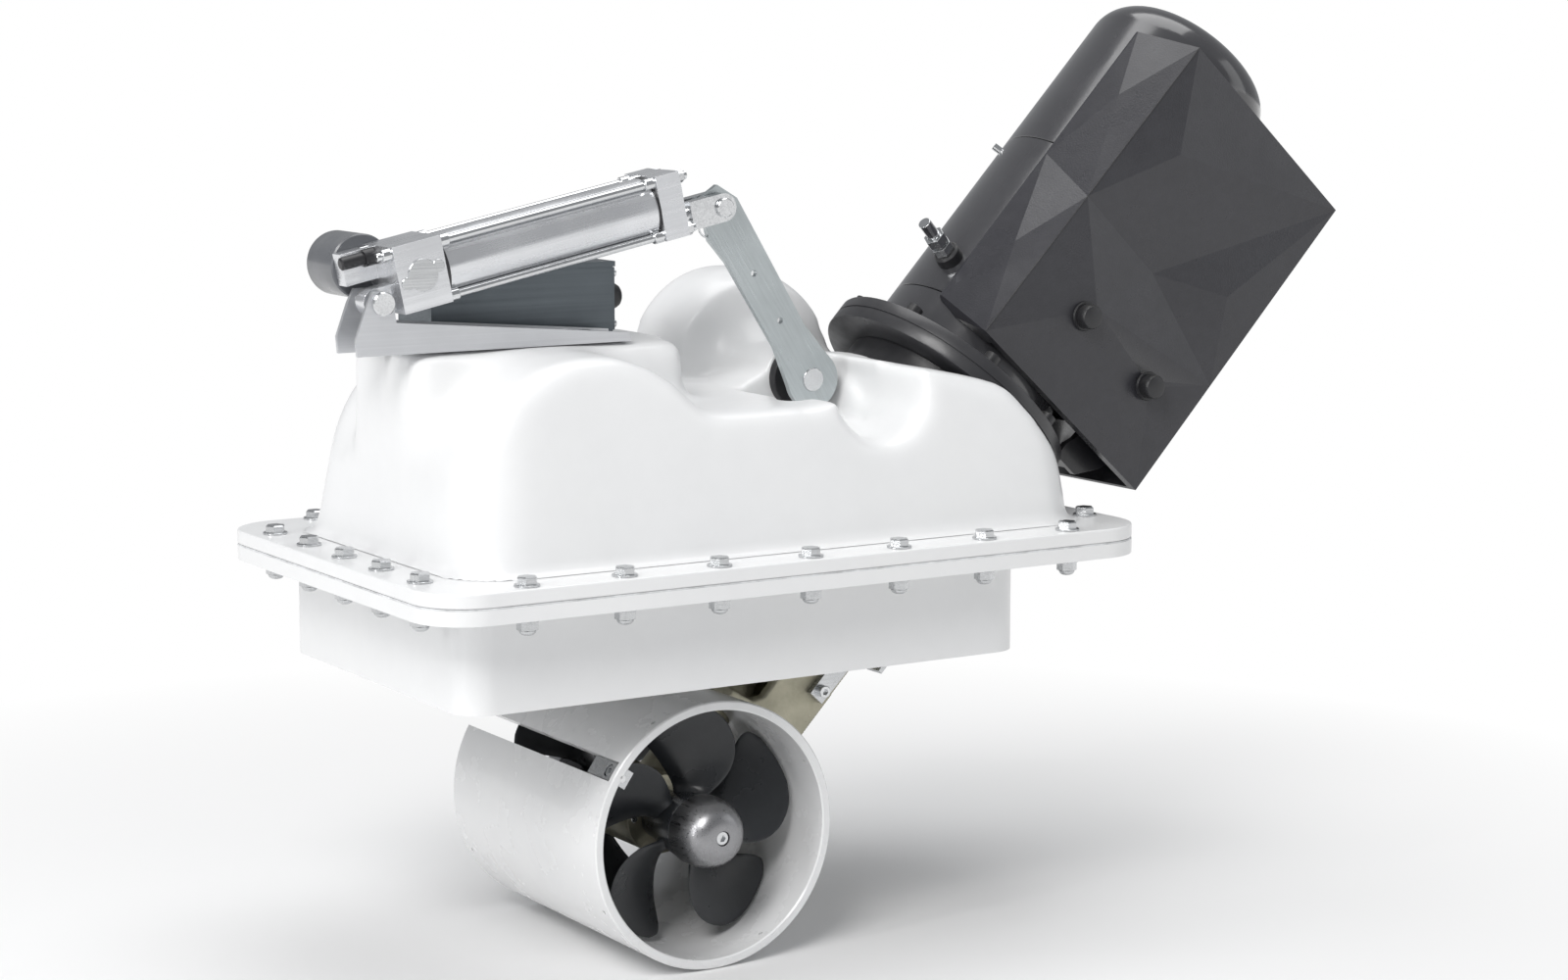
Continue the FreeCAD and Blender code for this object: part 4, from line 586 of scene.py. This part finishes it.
def flange_fasteners():
    """Bolts with washers above, domed nuts with washers below."""
    bolts = bmesh.new()
    nuts = bmesh.new()
    dome = [(0, 0), (0, 6.0), (1.4, 5.6), (2.6, 4.4), (3.2, 3.0), (3.2, 0)]
    for x, y in bolt_centres():
        add_rod(bolts, (x, y, TOP_Z), UP, 9.0, WASHER, 0.3, 36)
        add_hexagon(bolts, (x, y, TOP_Z + WASHER), UP, 13.0, 5.3, 0.9)
        add_rod(bolts, (x, y, LOWER_FLANGE_Z - 8.5), UP, 4.0, 30.0, 0.4, 20)
        add_rod(nuts, (x, y, LOWER_FLANGE_Z - WASHER), UP, 8.5, WASHER, 0.3, 36)
        add_hexagon(nuts, (x, y, LOWER_FLANGE_Z - WASHER), DOWN, 13.0, 6.5, 0.5)
        add_revolved(nuts, dome, (x, y, LOWER_FLANGE_Z - WASHER - 6.5), DOWN, 24)
    make(bolts, "flange bolt heads and washers", "hull_unit", "stainless", nodes=("flange_bolts",))
    make(nuts, "domed flange nuts", "hull_unit", "stainless", nodes=("flange_nuts",))


def trunk_and_gasket():
    """The box that is built into the hull, and the joint between the flanges."""
    refined("hull_trunk", 1.0)
    refined("flange_gasket", 0.25)


def ease(bm, rounds, chosen):
    """Round off the corners of one region of a mesh, chosen by place in mm."""
    verts = [v for v in bm.verts if chosen(v.co * 1000.0)]
    for _ in range(rounds):
        bmesh.ops.smooth_vert(bm, verts=verts, factor=0.5, use_axis_x=True, use_axis_y=True, use_axis_z=True)


def upper_housing():
    """Moulded housing: soft corners above, a crisp flange plate below."""
    def web(extra):
        """Backs up the thin skin of the swelling from inside."""
        section = [(40.0, 24.0), (40.0, 33.0), (44.0, 36.0), (50.0, 43.0), (56.0, 52.0), (60.0, 61.0),
                   (63.0, 67.5), (65.0, 68.5), (65.0, 24.0)]
        add_revolved(extra, section, tuple(SHAFT), BACK)

    mesh = cast_copy("upper_housing", 3.5, 9, "upper housing moulding", web)
    bm = bmesh.new()
    bm.from_mesh(mesh)
    ease(bm, 34, lambda p: p.x < 60.0 and p.y < -8.0 and p.z > 100.0)
    ease(bm, 34, lambda p: p.x < 60.0 and p.y > 75.0 and p.z > 100.0)
    ease(bm, 26, lambda p: p.x >= 50.0 and p.y < -60.0 and p.z > 115.0)
    low = (TOP_Z + 0.5) * 0.001
    doomed = [f for f in bm.faces if all(v.co.z < low for v in f.verts)]
    bmesh.ops.delete(bm, geom=doomed, context="FACES")
    bm.to_mesh(mesh)
    bm.free()
    finish_piece(mesh, "upper housing moulding", "hull_unit", "white_laminate", 0.0, 60.0, ("upper_housing",))
    plate = bmesh.new()
    low = TOP_Z - FLANGE_THICK
    outer = rounded_outline((FLANGE_X - FLANGE_HALF[0], FLANGE_X + FLANGE_HALF[0]),
                            (-FLANGE_HALF[1], FLANGE_HALF[1]), 40.6, 16)
    inner = rounded_outline((-222.5, 290.5), (-142.0, 142.0), 50.0, 16)
    rims = [add_loop(plate, [(x, y, low) for x, y in outline])[1] for outline in (inner, outer)]
    face = bmesh.ops.bridge_loops(plate, edges=rims[0] + rims[1])["faces"]
    lift(plate, face, (0, 0, FLANGE_THICK))
    make(plate, "upper housing flange", "hull_unit", "white_laminate", edge=1.4)


# ---------------------------------------------------------------- tunnel, leg and propellers
def cut(obj_mesh, cutters, name):
    """Boolean difference worked into the mesh."""
    obj = bpy.data.objects.new(name, obj_mesh)
    bpy.context.scene.collection.objects.link(obj)
    tools = []
    for bm in cutters:
        bmesh.ops.remove_doubles(bm, verts=bm.verts, dist=1e-4)
        bmesh.ops.recalc_face_normals(bm, faces=bm.faces)
        mesh = bpy.data.meshes.new(name + " cutter")
        bm.to_mesh(mesh)
        bm.free()
        tool = bpy.data.objects.new(name + " cutter", mesh)
        bpy.context.scene.collection.objects.link(tool)
        mod = obj.modifiers.new("cut", "BOOLEAN")
        mod.operation = "DIFFERENCE"
        mod.solver = "EXACT"
        mod.object = tool
        tools.append(tool)
    result = evaluated(obj)
    for tool in tools:
        bpy.data.objects.remove(tool)
    bpy.data.objects.remove(obj)
    return result


def heading(angle):
    """Direction in the XZ plane, in degrees from the row."""
    return Vector((math.cos(math.radians(angle)), 0, math.sin(math.radians(angle))))


def tunnel():
    """Duct with its slot, the leg's hole and small screw holes; the stop and the clamp with its screw."""
    ring = bmesh.new()
    lip = 1.0
    section = tube_outline(-TUNNEL_HALF, TUNNEL_HALF, TUNNEL_BORE + lip, TUNNEL_R, lip)
    section += [(TUNNEL_HALF - lip, TUNNEL_BORE), (-TUNNEL_HALF + lip, TUNNEL_BORE)]
    add_revolved(ring, section, axis=BACK, steps=192)
    bmesh.ops.recalc_face_normals(ring, faces=ring.faces)
    mesh = bpy.data.meshes.new("tunnel ring")
    ring.to_mesh(mesh)
    ring.free()
    slot = bmesh.new()
    far = 130.0
    corners = [Vector((0, 0, 0)), far * heading(140.6), far * heading(149.6)]
    add_prism(slot, [(p.x, p.z) for p in corners], -TUNNEL_HALF + 5.0, TUNNEL_HALF + 1.0)
    leg_hole = bmesh.new()
    add_rod(leg_hole, (0, 0, 0), tuple(AXIS), 18.6, far, 0.1, 64)
    cutters = [slot, leg_hole]
    for angle in (28.0, 118.0, 208.0, 298.0):
        for side in (-1, 1):
            way = heading(angle)
            drill = bmesh.new()
            add_rod(drill, (60 * way.x, side * 105.0, 60 * way.z), tuple(way), 1.8, 60.0, 0.1, 16)
            cutters.append(drill)
    mesh = cut(mesh, cutters, "tunnel ring")
    mesh.transform(TUNNEL)
    finish_piece(mesh, "tunnel duct", "leg", "duct_white", 0.0, 32.0, ("tunnel",))
    nub = bmesh.new()
    add_rod(nub, tuple(TUNNEL_BORE * heading(146.0) - Vector((0, TUNNEL_HALF, 0))), BACK, 3.0, 5.0, 0.6, 24)
    make(nub, "tunnel stop nub", "leg", "duct_white", TUNNEL)
    refined("tunnel_clamp", 0.5)
    screw = bmesh.new()
    out = heading(145.1)
    add_socket_screw(screw, tuple(out * 92.0 + Vector((0, -TUNNEL_HALF + 15.0, 0))), tuple(out), 4.6, 4.6)
    make(screw, "tunnel clamp screw", "leg", "bright_steel", TUNNEL)


def leg():
    """Bronze casting with its caps, straps, pin and screws."""
    mesh = cast_copy("leg_casting", 1.7, 3, "bronze leg casting")
    finish_piece(mesh, "bronze leg casting", "leg", "bronze", 0.0, 60.0, ("leg_casting",))
    refined("gearcase_caps", 0.5)
    refined("side_straps", 0.8)
    refined("leg_link_pin", 0.4)
    screws = bmesh.new()
    for s in (151.4, 205.0):
        for side in (-1, 1):
            add_socket_screw(screws, (s, side * 43.3, -45.0), (0, side, 0), 4.8, 5.0)
    make(screws, "strap screws", "leg", "bright_steel", LEG)
    cap_screws = bmesh.new()
    for side in (-1, 1):
        for i in range(4):
            place = 24.5 * heading(45 + 90 * i) + Vector((0, side * 36.4, 0))
            add_socket_screw(cap_screws, tuple(place), (0, side, 0), 2.6, 0.9)
    make(cap_screws, "gearcase screws", "leg", "bright_steel", LEG)


SECTIONS = [                    # radius, half chord, sweep in degrees, thickness
    (17.0, 12.0, 0.0, 7.0), (27.0, 15.0, 0.2, 6.2), (38.0, 21.5, 1.4, 5.4), (50.0, 28.5, 4.2, 4.6),
    (62.0, 34.0, 8.6, 3.9), (73.0, 37.0, 13.8, 3.2), (81.0, 36.0, 18.2, 2.7), (86.5, 31.0, 21.6, 2.2),
    (89.3, 20.0, 23.4, 1.6),
]
BLADE_RINGS = 41


def section_at(t):
    """Sections between the given ones, on a smooth curve."""
    x = min(max(t, 0.0), len(SECTIONS) - 1.0)
    i = min(int(x), len(SECTIONS) - 2)
    f = x - i
    rows = [SECTIONS[min(max(i + k, 0), len(SECTIONS) - 1)] for k in (-1, 0, 1, 2)]
    out = []
    for a, b, c, d in zip(*rows):
        out.append(0.5 * (2 * b + (c - a) * f + (2 * a - 5 * b + 4 * c - d) * f * f
                          + (3 * b - a - 3 * c + d) * f ** 3))
    return out


def blade_ring(radius, half_chord, sweep, thickness, points=36):
    """Section of a blade, wrapped on a cylinder and turned to the pitch."""
    pitch = math.atan2(PITCH, math.tau * radius)
    ring = []
    for i in range(points):
        turn = math.tau * i / points
        chord = half_chord * math.cos(turn)
        across = thickness / 2 * math.sin(turn)
        polar = math.radians(sweep) + (chord * math.cos(pitch) - across * math.sin(pitch)) / radius
        back = chord * math.sin(pitch) + across * math.cos(pitch)
        ring.append(Vector((radius * math.cos(polar), back - BLADE_Y, radius * math.sin(polar))))
    return ring


def blade(turn):
    """Rings of one blade from the hub out, thicker at the root."""
    rings = []
    for k in range(BLADE_RINGS):
        radius, chord, sweep, thick = section_at((len(SECTIONS) - 1.0) * k / (BLADE_RINGS - 1))
        root = min(max(0.0, (29.0 - radius) / 6.0), 1.0)
        rings.append([turn @ p for p in blade_ring(radius, chord, sweep, thick + 5.0 * root ** 2)])
    return rings


def propeller(side, phase, body, word):
    """Blades on their hub, the nose cone and its screw; side is -1 in front and 1 at the back."""
    bm = bmesh.new()
    for i in range(BLADES):
        turn = Matrix.Rotation(-math.radians(phase + 360.0 / BLADES * i), 3, "Y")
        add_loft(bm, blade(turn))
    hub = [(-90.0, 6.0), (-90.0, 25.4), (-89.4, 26.0), (-38.0, 19.1), (-37.5, 18.6), (-37.5, 6.0)]
    add_revolved(bm, hub, axis=BACK)
    if side > 0:
        bmesh.ops.scale(bm, vec=(1, -1, 1), verts=bm.verts)
    make(bm, word + " propeller blades", body, "blade_slate", TUNNEL, angle=50.0,
         nodes=(word + "_propeller",))
    nose = bmesh.new()
    outline = [(90.2, 0), (90.2, NOSE_R - 0.6), (90.8, NOSE_R), (98.0, NOSE_R)]
    for i in range(1, 12):
        t = math.radians(90.0 * i / 12)
        outline.append((98.0 + 26.2 * math.sin(t), 7.0 + (NOSE_R - 7.0) * math.cos(t) ** 0.8))
    outline += [(124.2, 7.0), (124.2, 5.6), (118.6, 5.6), (118.4, 0)]
    add_revolved(nose, [(side * a, r) for a, r in outline], axis=BACK)
    make(nose, word + " nose cone finish", body, "nose_metal", TUNNEL, angle=40.0,
         nodes=(word + "_nose_cone",))
    screw = bmesh.new()
    add_socket_screw(screw, (0, side * 118.5, 0), (0, side, 0), 5.2, 4.6)
    make(screw, word + " nose screw", body, "bright_steel", TUNNEL)


# ---------------------------------------------------------------- motor and its cover
def round_the_motor(angle):
    """Direction square to the motor's axis, in degrees from the top."""
    return Vector((0, -math.sin(math.radians(angle)), math.cos(math.radians(angle))))


def motor():
    """Adapter, flange discs, end ring, casing and cap in one row on the motor's axis."""
    def turned_part(outline, name, slot, node, angle=30.0):
        bm = bmesh.new()
        add_revolved(bm, outline, steps=160)
        make(bm, name, "hull_unit", slot, MOTOR, angle=angle, nodes=(node,))

    turned_part(tube_outline(0, 22.8, 29, 80, 0.6), "motor adapter ring", "black_casting", "motor_base")
    rim = FLANGE_DISC_R
    discs = [(23, 12), (23, rim - 1.2), (23.4, rim - 0.4), (24.2, rim), (32.3, rim), (32.6, rim - 0.8),
             (33.4, rim - 0.8), (33.7, rim), (41.8, rim), (42.6, rim - 0.4), (43, rim - 1.2), (43, 12)]
    turned_part(discs, "motor flange discs", "charcoal_plate", "motor_flange")
    end_ring = tube_outline(43.2, 77.6, 30, MOTOR_R, 0.6)[:-1] + [(77.6, 72), (60, 72), (60, 30)]
    turned_part(end_ring, "motor end ring finish", "motor_paint", "motor_end_ring")
    turned_part(tube_outline(78.2, 231.6, CASING_BORE, MOTOR_R, 0.5), "motor casing finish", "motor_paint",
                "motor_casing")
    cap = [(232.2, CASING_BORE), (232.2, MOTOR_R - 0.5), (232.7, MOTOR_R), (360, MOTOR_R)]
    corner = 28.0
    for i in range(1, 19):
        t = math.radians(5.0 * i)
        cap.append((360 + corner * math.sin(t), MOTOR_R - corner + corner * math.cos(t)))
    cap += [(389.6, 34), (391, 0), (386, 0), (383, 51), (374, 66), (360, CASING_BORE)]
    turned_part(cap, "motor cap finish", "motor_paint", "motor_cap", 40.0)
    screws = bmesh.new()
    for i in range(8):
        place = Vector((43.0, 0, 0)) + 94.0 * round_the_motor(22.5 + 45 * i)
        add_socket_screw(screws, tuple(place), ALONG, 6.5, 8.0)
    make(screws, "motor flange screws", "hull_unit", "knob_black", MOTOR)
    stud = bmesh.new()
    out = round_the_motor(-30.0)
    add_rod(stud, tuple(Vector((224, 0, 0)) + out * (MOTOR_R - 0.5)), tuple(out), 3.0, 7.0)
    make(stud, "motor seam stud", "hull_unit", "bright_steel", MOTOR)


def terminals():
    """Power studs with their nuts on insulating collars."""
    refined("terminal_studs", 0.5)
    refined("terminal_nuts", 0.6)
    collars = bmesh.new()
    section = [(0, 5.1), (0, 10.5), (9.5, 10.5), (11.0, 9.0), (11.0, 5.1)]
    for angle in TERMINAL_ANGLES:
        out = round_the_motor(angle)
        root = Vector((TERMINAL_X, 0, 0)) + out * (MOTOR_R - 1.5)
        add_revolved(collars, section, tuple(root), tuple(out), 40)
    make(collars, "terminal insulating collars", "hull_unit", "knob_black", MOTOR)


def cover():
    """Faceted cover with its knobs and crease, and the controller behind it."""
    refined("motor_cover", 0.7, 3.0)
    knobs = bmesh.new()
    grip = [(-104.5, 0), (-104.5, 6.6), (-103.9, 8.4), (-102.6, 9.3), (-101, 9.5), (-96, 9.5), (-94.8, 9.0),
            (-94.5, 8.0), (-94.5, 4.0), (-81, 4.0), (-81, 0)]
    collar = [(-94.9, 4.1), (-94.9, 11.0), (-93.4, 11.6), (-93.2, 4.1)]
    for x, z in ((126.0, -5.0), (126.5, -90.0)):
        for section in (grip, collar):
            add_revolved(knobs, section, (x, 0, z), BACK, 48)
    make(knobs, "cover knobs finish", "hull_unit", "knob_black", MOTOR, nodes=("cover_knobs",))
    seam = bmesh.new()
    crease = [Vector((59.5, -88.2, 56.0)), Vector((196.0, -89.1, 55.0)), Vector((351.5, -88.2, 53.0))]
    for low, high in zip(crease, crease[1:]):
        add_rod(seam, tuple(low), tuple((high - low).normalized()), 0.45, (high - low).length, 0.1, 12)
    make(seam, "cover seam line", "hull_unit", "knob_black", MOTOR)
    refined("controller_case", 1.0)
    refined("controller_bracket", 0.8)


# ---------------------------------------------------------------- lever and linkage
def lever():
    """Lever, its shaft in two bearings, the crank, pin and link inside, and the leg's pivot."""
    refined("lever_arm", 0.7)
    refined("lever_shaft", 0.8)
    for node in ("inner_crank", "crank_pin", "connecting_link"):
        refined(node, 0.5)
    bush = bmesh.new()
    add_revolved(bush, [(-23.2, 5.4), (-23.2, 8.6), (-22.8, 9.0), (-22.5, 9.0), (-22.5, 7.45), (-17.5, 7.45),
                        (-17.5, 9.0), (-17.2, 9.0), (-16.8, 8.6), (-16.8, 5.4)],
                 (PIN_FRONT.x, 0, PIN_FRONT.z), BACK, 48)
    make(bush, "lever tip bush", "lever", "bearing_black")
    bearings = bmesh.new()
    flanged = [(-5.0, SHAFT_R), (-5.0, 23.0), (-4.4, 23.8), (-3.6, 24.0), (2.0, 24.0), (2.0, 16.0),
               (24.0, 16.0), (24.0, SHAFT_R)]
    add_revolved(bearings, flanged, tuple(SHAFT), BACK)
    add_revolved(bearings, square_outline(70.0, 90.0, SHAFT_R, 16.0), tuple(SHAFT), BACK, 64)
    make(bearings, "lever shaft bearings", "hull_unit", "bearing_black", nodes=("shaft_bushes",))
    refined("pivot_bracket", 1.2)
    refined("pivot_pins", 0.6)


# ---------------------------------------------------------------- actuator, bracket and control box
def actuator_cylinder():
    """Tube between the heads, held by four tie rods; the motor beside the rear head."""
    refined("actuator_rear_head", 1.6)
    refined("actuator_front_head", 1.4)
    tube = bmesh.new()
    add_revolved(tube, square_outline(*TUBE, TUBE_R - 2.0, TUBE_R), (0, 0, TUBE_Z), ALONG, 128)
    make(tube, "actuator tube finish", "actuator", "actuator_alloy", ACTUATOR, nodes=("actuator_casing",))
    rods = bmesh.new()
    for y, z in TIE_RODS:
        add_rod(rods, (34.0, y, z), ALONG, 3.0, 221.0, 0.5, 32)
        add_hexagon(rods, (247.0, y, z), ALONG, 8.6, 5.0, 0.6)
    make(rods, "tie rods and nuts", "actuator", "bright_steel", ACTUATOR, nodes=("tie_rods",))
    can = bmesh.new()
    section = [(0, 0), (0, 22), (1.0, 23), (42.0, 23), (43.4, 22.6), (46, 21), (47, 18), (47, 7), (50, 6.6),
               (50, 0)]
    add_revolved(can, section, (8.0, 23.2, 22.0), BACK)
    make(can, "actuator motor can finish", "actuator", "actuator_motor_paint", ACTUATOR,
         nodes=("actuator_motor",))


def actuator_rod():
    """Piston rod and fork with stub pins."""
    rod = bmesh.new()
    add_rod(rod, (70.0, 0, 0), ALONG, 8.0, REACH - 104.0, 0.6, 64)
    make(rod, "piston rod finish", "rod", "bright_steel", ACTUATOR, nodes=("piston_rod",))
    refined("rod_fork", 1.2)
    pins = bmesh.new()
    for side in (-1, 1):
        add_rod(pins, (REACH, side * 3.4, 0), (0, side, 0), 5.0, 10.6, 0.4, 40)
        add_rod(pins, (REACH, side * 13.0, 0), (0, side, 0), 7.0, 3.0, 0.6, 40)
    make(pins, "fork pin heads", "rod", "bright_steel", ACTUATOR, nodes=("fork_pins",))


def actuator_fittings():
    """Lead socket, seals, wiper, ring clip, bare plate on the rear head, collars on the tie rods."""
    plug = bmesh.new()
    add_revolved(plug, [(-14, 0), (-14, 3.2), (-13, 4.6), (4, 4.6), (4, 6.2), (12.8, 6.2), (12.8, 0)],
                 (0, 9.0, 29.5), ALONG, 36)
    make(plug, "actuator lead socket", "actuator", "knob_black", ACTUATOR)
    seals = bmesh.new()
    for start, end in ((225.0, 226.8), (51.2, 53.0)):
        add_revolved(seals, square_outline(start, end, TUBE_R, TUBE_R + 0.7), (0, 0, TUBE_Z))
    make(seals, "actuator tube seals", "actuator", "bearing_black", ACTUATOR)
    wiper = bmesh.new()
    add_revolved(wiper, [(247.0, 8.1), (247.0, 12.0), (248.6, 11.4), (249.4, 8.1)], steps=48)
    make(wiper, "rod wiper ring", "actuator", "bearing_black", ACTUATOR)
    clip = bmesh.new()
    add_ring(clip, (REACH - 9.0, 0, -13.0), 8.0, 0.8)
    make(clip, "fork pin ring clip", "rod", "bright_steel", ACTUATOR)
    plate = bmesh.new()
    front = (0, -1, 0)
    add_rod(plate, (32.0, -TUBE_R, 13.0), front, 11.5, 0.9, 0.3, 64)
    for side in (-1, 1):
        add_rod(plate, (32.0 + side * 12.8, -TUBE_R, 13.0 + side * 3.4), front, 4.6, 0.8, 0.3, 32)
    make(plate, "bare badge plate", "actuator", "stainless", ACTUATOR)
    collars = bmesh.new()
    for y, z in TIE_RODS:
        if z > TUBE_Z:
            add_rod(collars, (2.0, y, z), ALONG, 3.0, 11.5, 0.5, 32)
            add_rod(collars, (6.0, y, z), ALONG, 4.6, 7.2, 0.5, 32)
        add_rod(collars, (51.0, y, z), ALONG, 4.6, 7.0, 0.5, 32)
        add_rod(collars, (219.0, y, z), ALONG, 4.6, 8.0, 0.5, 32)
    make(collars, "tie rod collars", "actuator", "bright_steel", ACTUATOR)


def bracket():
    """Folded bracket with its pin and bolts."""
    refined("actuator_bracket", 0.6)
    pin = bmesh.new()
    x, z = PIN_BACK.x, PIN_BACK.z
    add_rod(pin, (x, -37.5, z), BACK, 5.0, 38.0, 0.5, 40)
    add_rod(pin, (x, -41.5, z), BACK, 8.5, 4.0, 0.8, 48)
    make(pin, "bracket pin finish", "hull_unit", "bright_steel", nodes=("bracket_pin",))
    bolts = bmesh.new()
    for bolt_x in (-190.0, -130.0, -70.0):
        add_rod(bolts, (bolt_x, PIN_BACK.y, 241.0), UP, 6.5, 1.0, 0.2, 32)
        add_hexagon(bolts, (bolt_x, PIN_BACK.y, 242.0), UP, 10.0, 4.0)
    make(bolts, "bracket bolts", "hull_unit", "stainless")


def control_box():
    """Box with its lid, end plate, screws and cable gland."""
    refined("control_box", 2.5)
    refined("control_box_lid", 1.4)
    end_x = -29.6
    screws = bmesh.new()
    for x in (-174.0, -38.0):
        for y in (11.5, 54.5):
            add_socket_screw(screws, (x, y, 292.3), UP, 2.4, 0.7)
    make(screws, "lid screws", "hull_unit", "bright_steel")
    plate = bmesh.new()
    add_prism(plate, [(-32.0, 242.0), (end_x, 242.0), (end_x, 288.5), (-32.0, 288.5)], 6.5, 59.5)
    make(plate, "control box end plate", "hull_unit", "box_alloy", edge=0.6)
    corners = bmesh.new()
    for y in (11.0, 55.0):
        for z in (246.5, 284.0):
            add_socket_screw(corners, (end_x, y, z), ALONG, 3.0, 2.6)
    make(corners, "end plate screws", "hull_unit", "bright_steel")
    gland = bmesh.new()
    section = [(-41, 4.5), (-41, 7.0), (-32, 7.0), (-32, 11.2), (-29, 11.2), (-28.6, 10.4), (-24, 10.2),
               (-18, 9.6), (-15.2, 8.0), (-14, 6.4), (-14, 4.5)]
    add_revolved(gland, section, (0, 30.0, 265.0), ALONG, 48)
    make(gland, "cable gland finish", "hull_unit", "knob_black", nodes=("cable_gland",))


def inner_pieces():
    """Pieces that lie inside keep their construction shape and take the full finish."""
    for node in ("motor_stator", "motor_rotor", "motor_shaft", "joint_cup", "leg_shaft", "bevel_pinion",
                 "leg_bearings", "front_crown_gear", "rear_crown_gear", "front_propeller_shaft",
                 "rear_propeller_shaft", "lead_screw", "screw_nut"):
        obj = NODES[node]
        obj.data.materials.clear()
        obj.data.materials.append(FINISH[SLOT_OF[node]])


# ---------------------------------------------------------------- studio
def fade_floor(s):
    """Away from the object the floor runs out into the white backdrop."""
    reach = s.add("ShaderNodeVectorMath", operation="LENGTH")
    s.link(s.coords, reach.inputs[0])
    fade = s.span(reach.outputs["Value"], 0.0, 1.0, 0.35, 1.1)
    white = s.add("ShaderNodeEmission")
    white.inputs["Color"].default_value = (1, 1, 1, 1)
    mix = s.add("ShaderNodeMixShader")
    out = s.tree.nodes["Material Output"]
    s.link(fade, mix.inputs[0])
    s.link(s.shader.outputs[0], mix.inputs[1])
    s.link(white.outputs[0], mix.inputs[2])
    s.link(mix.outputs[0], out.inputs["Surface"])


def add_floor(scene):
    """Pale floor just under the lowest point."""
    floor_z = BEFORE[0][2] - 0.0005
    bm = bmesh.new()
    bmesh.ops.create_grid(bm, x_segments=1, y_segments=1, size=30.0)
    mesh = bpy.data.meshes.new("studio floor")
    bm.to_mesh(mesh)
    bm.free()
    mesh.transform(Matrix.Translation((0, 0, floor_z)))
    floor = bpy.data.objects.new("studio_floor", mesh)
    scene.collection.objects.link(floor)
    s = Surface("pale floor", (0.86, 0.86, 0.86), 0.6)
    mesh.materials.append(s.vary(1.5, 0.01).done())
    fade_floor(s)


def add_lamp(scene, name, place, aim, size, power, tint=(1, 1, 1)):
    """Soft rectangular lamp, turned to its aim."""
    data = bpy.data.lights.new(name, "AREA")
    data.shape = "RECTANGLE"
    data.size, data.size_y = size
    data.energy = power
    data.color = tint
    obj = bpy.data.objects.new(name, data)
    obj.location = place
    obj.rotation_euler = (Vector(aim) - Vector(place)).to_track_quat("-Z", "Y").to_euler()
    scene.collection.objects.link(obj)


def white_room(scene):
    """Soft light on the object; plain white behind it."""
    world = bpy.data.worlds.new("white room")
    scene.world = world
    world.use_nodes = True
    tree = world.node_tree
    tree.nodes.clear()

    def light(tint, strength):
        node = tree.nodes.new("ShaderNodeBackground")
        node.inputs["Color"].default_value = tint
        node.inputs["Strength"].default_value = strength
        return node.outputs[0]

    mix = tree.nodes.new("ShaderNodeMixShader")
    out = tree.nodes.new("ShaderNodeOutputWorld")
    rays = tree.nodes.new("ShaderNodeLightPath")
    tree.links.new(rays.outputs["Is Camera Ray"], mix.inputs[0])
    tree.links.new(light((0.95, 0.97, 1.0, 1), 0.34), mix.inputs[1])
    tree.links.new(light((1, 1, 1, 1), 1.0), mix.inputs[2])
    tree.links.new(mix.outputs[0], out.inputs["Surface"])


def add_camera(scene, place, aim, lens):
    """The scene's own camera, turned to its aim."""
    data = bpy.data.cameras.new("camera")
    data.sensor_width = 36.0
    data.lens = lens
    data.clip_end = 100.0
    camera = bpy.data.objects.new("camera", data)
    camera.location = place
    camera.rotation_euler = (Vector(aim) - Vector(place)).to_track_quat("-Z", "Y").to_euler()
    scene.collection.objects.link(camera)
    scene.camera = camera


def studio():
    """Floor, four lamps, white room and camera."""
    scene = bpy.context.scene
    add_floor(scene)
    middle = (0, 0, 0.1)
    add_lamp(scene, "key softbox", (-2.2, -1.8, 2.6), middle, (1.5, 1.5), 84, (1.0, 0.99, 0.98))
    add_lamp(scene, "top softbox", (0.4, 0.3, 3.0), middle, (2.4, 2.0), 42)
    add_lamp(scene, "left strip", (-2.6, -0.6, 1.1), (0.2, 0, 0.2), (0.25, 2.4), 24)
    add_lamp(scene, "right fill", (2.8, -2.0, 1.2), middle, (1.6, 2.0), 9, (0.98, 0.99, 1.0))
    white_room(scene)
    add_camera(scene, (-1.20475, -2.1104, 0.4766), (0.11345, 0.0, 0.1120), 75.39)
    scene.view_settings.view_transform = "Standard"


trunk_and_gasket()
flange_fasteners()
upper_housing()
tunnel()
leg()
propeller(-1, 2.0, "front_wheel", "front")
propeller(1, 38.0, "rear_wheel", "rear")
motor()
terminals()
cover()
lever()
actuator_cylinder()
actuator_rod()
actuator_fittings()
bracket()
control_box()
inner_pieces()
studio()
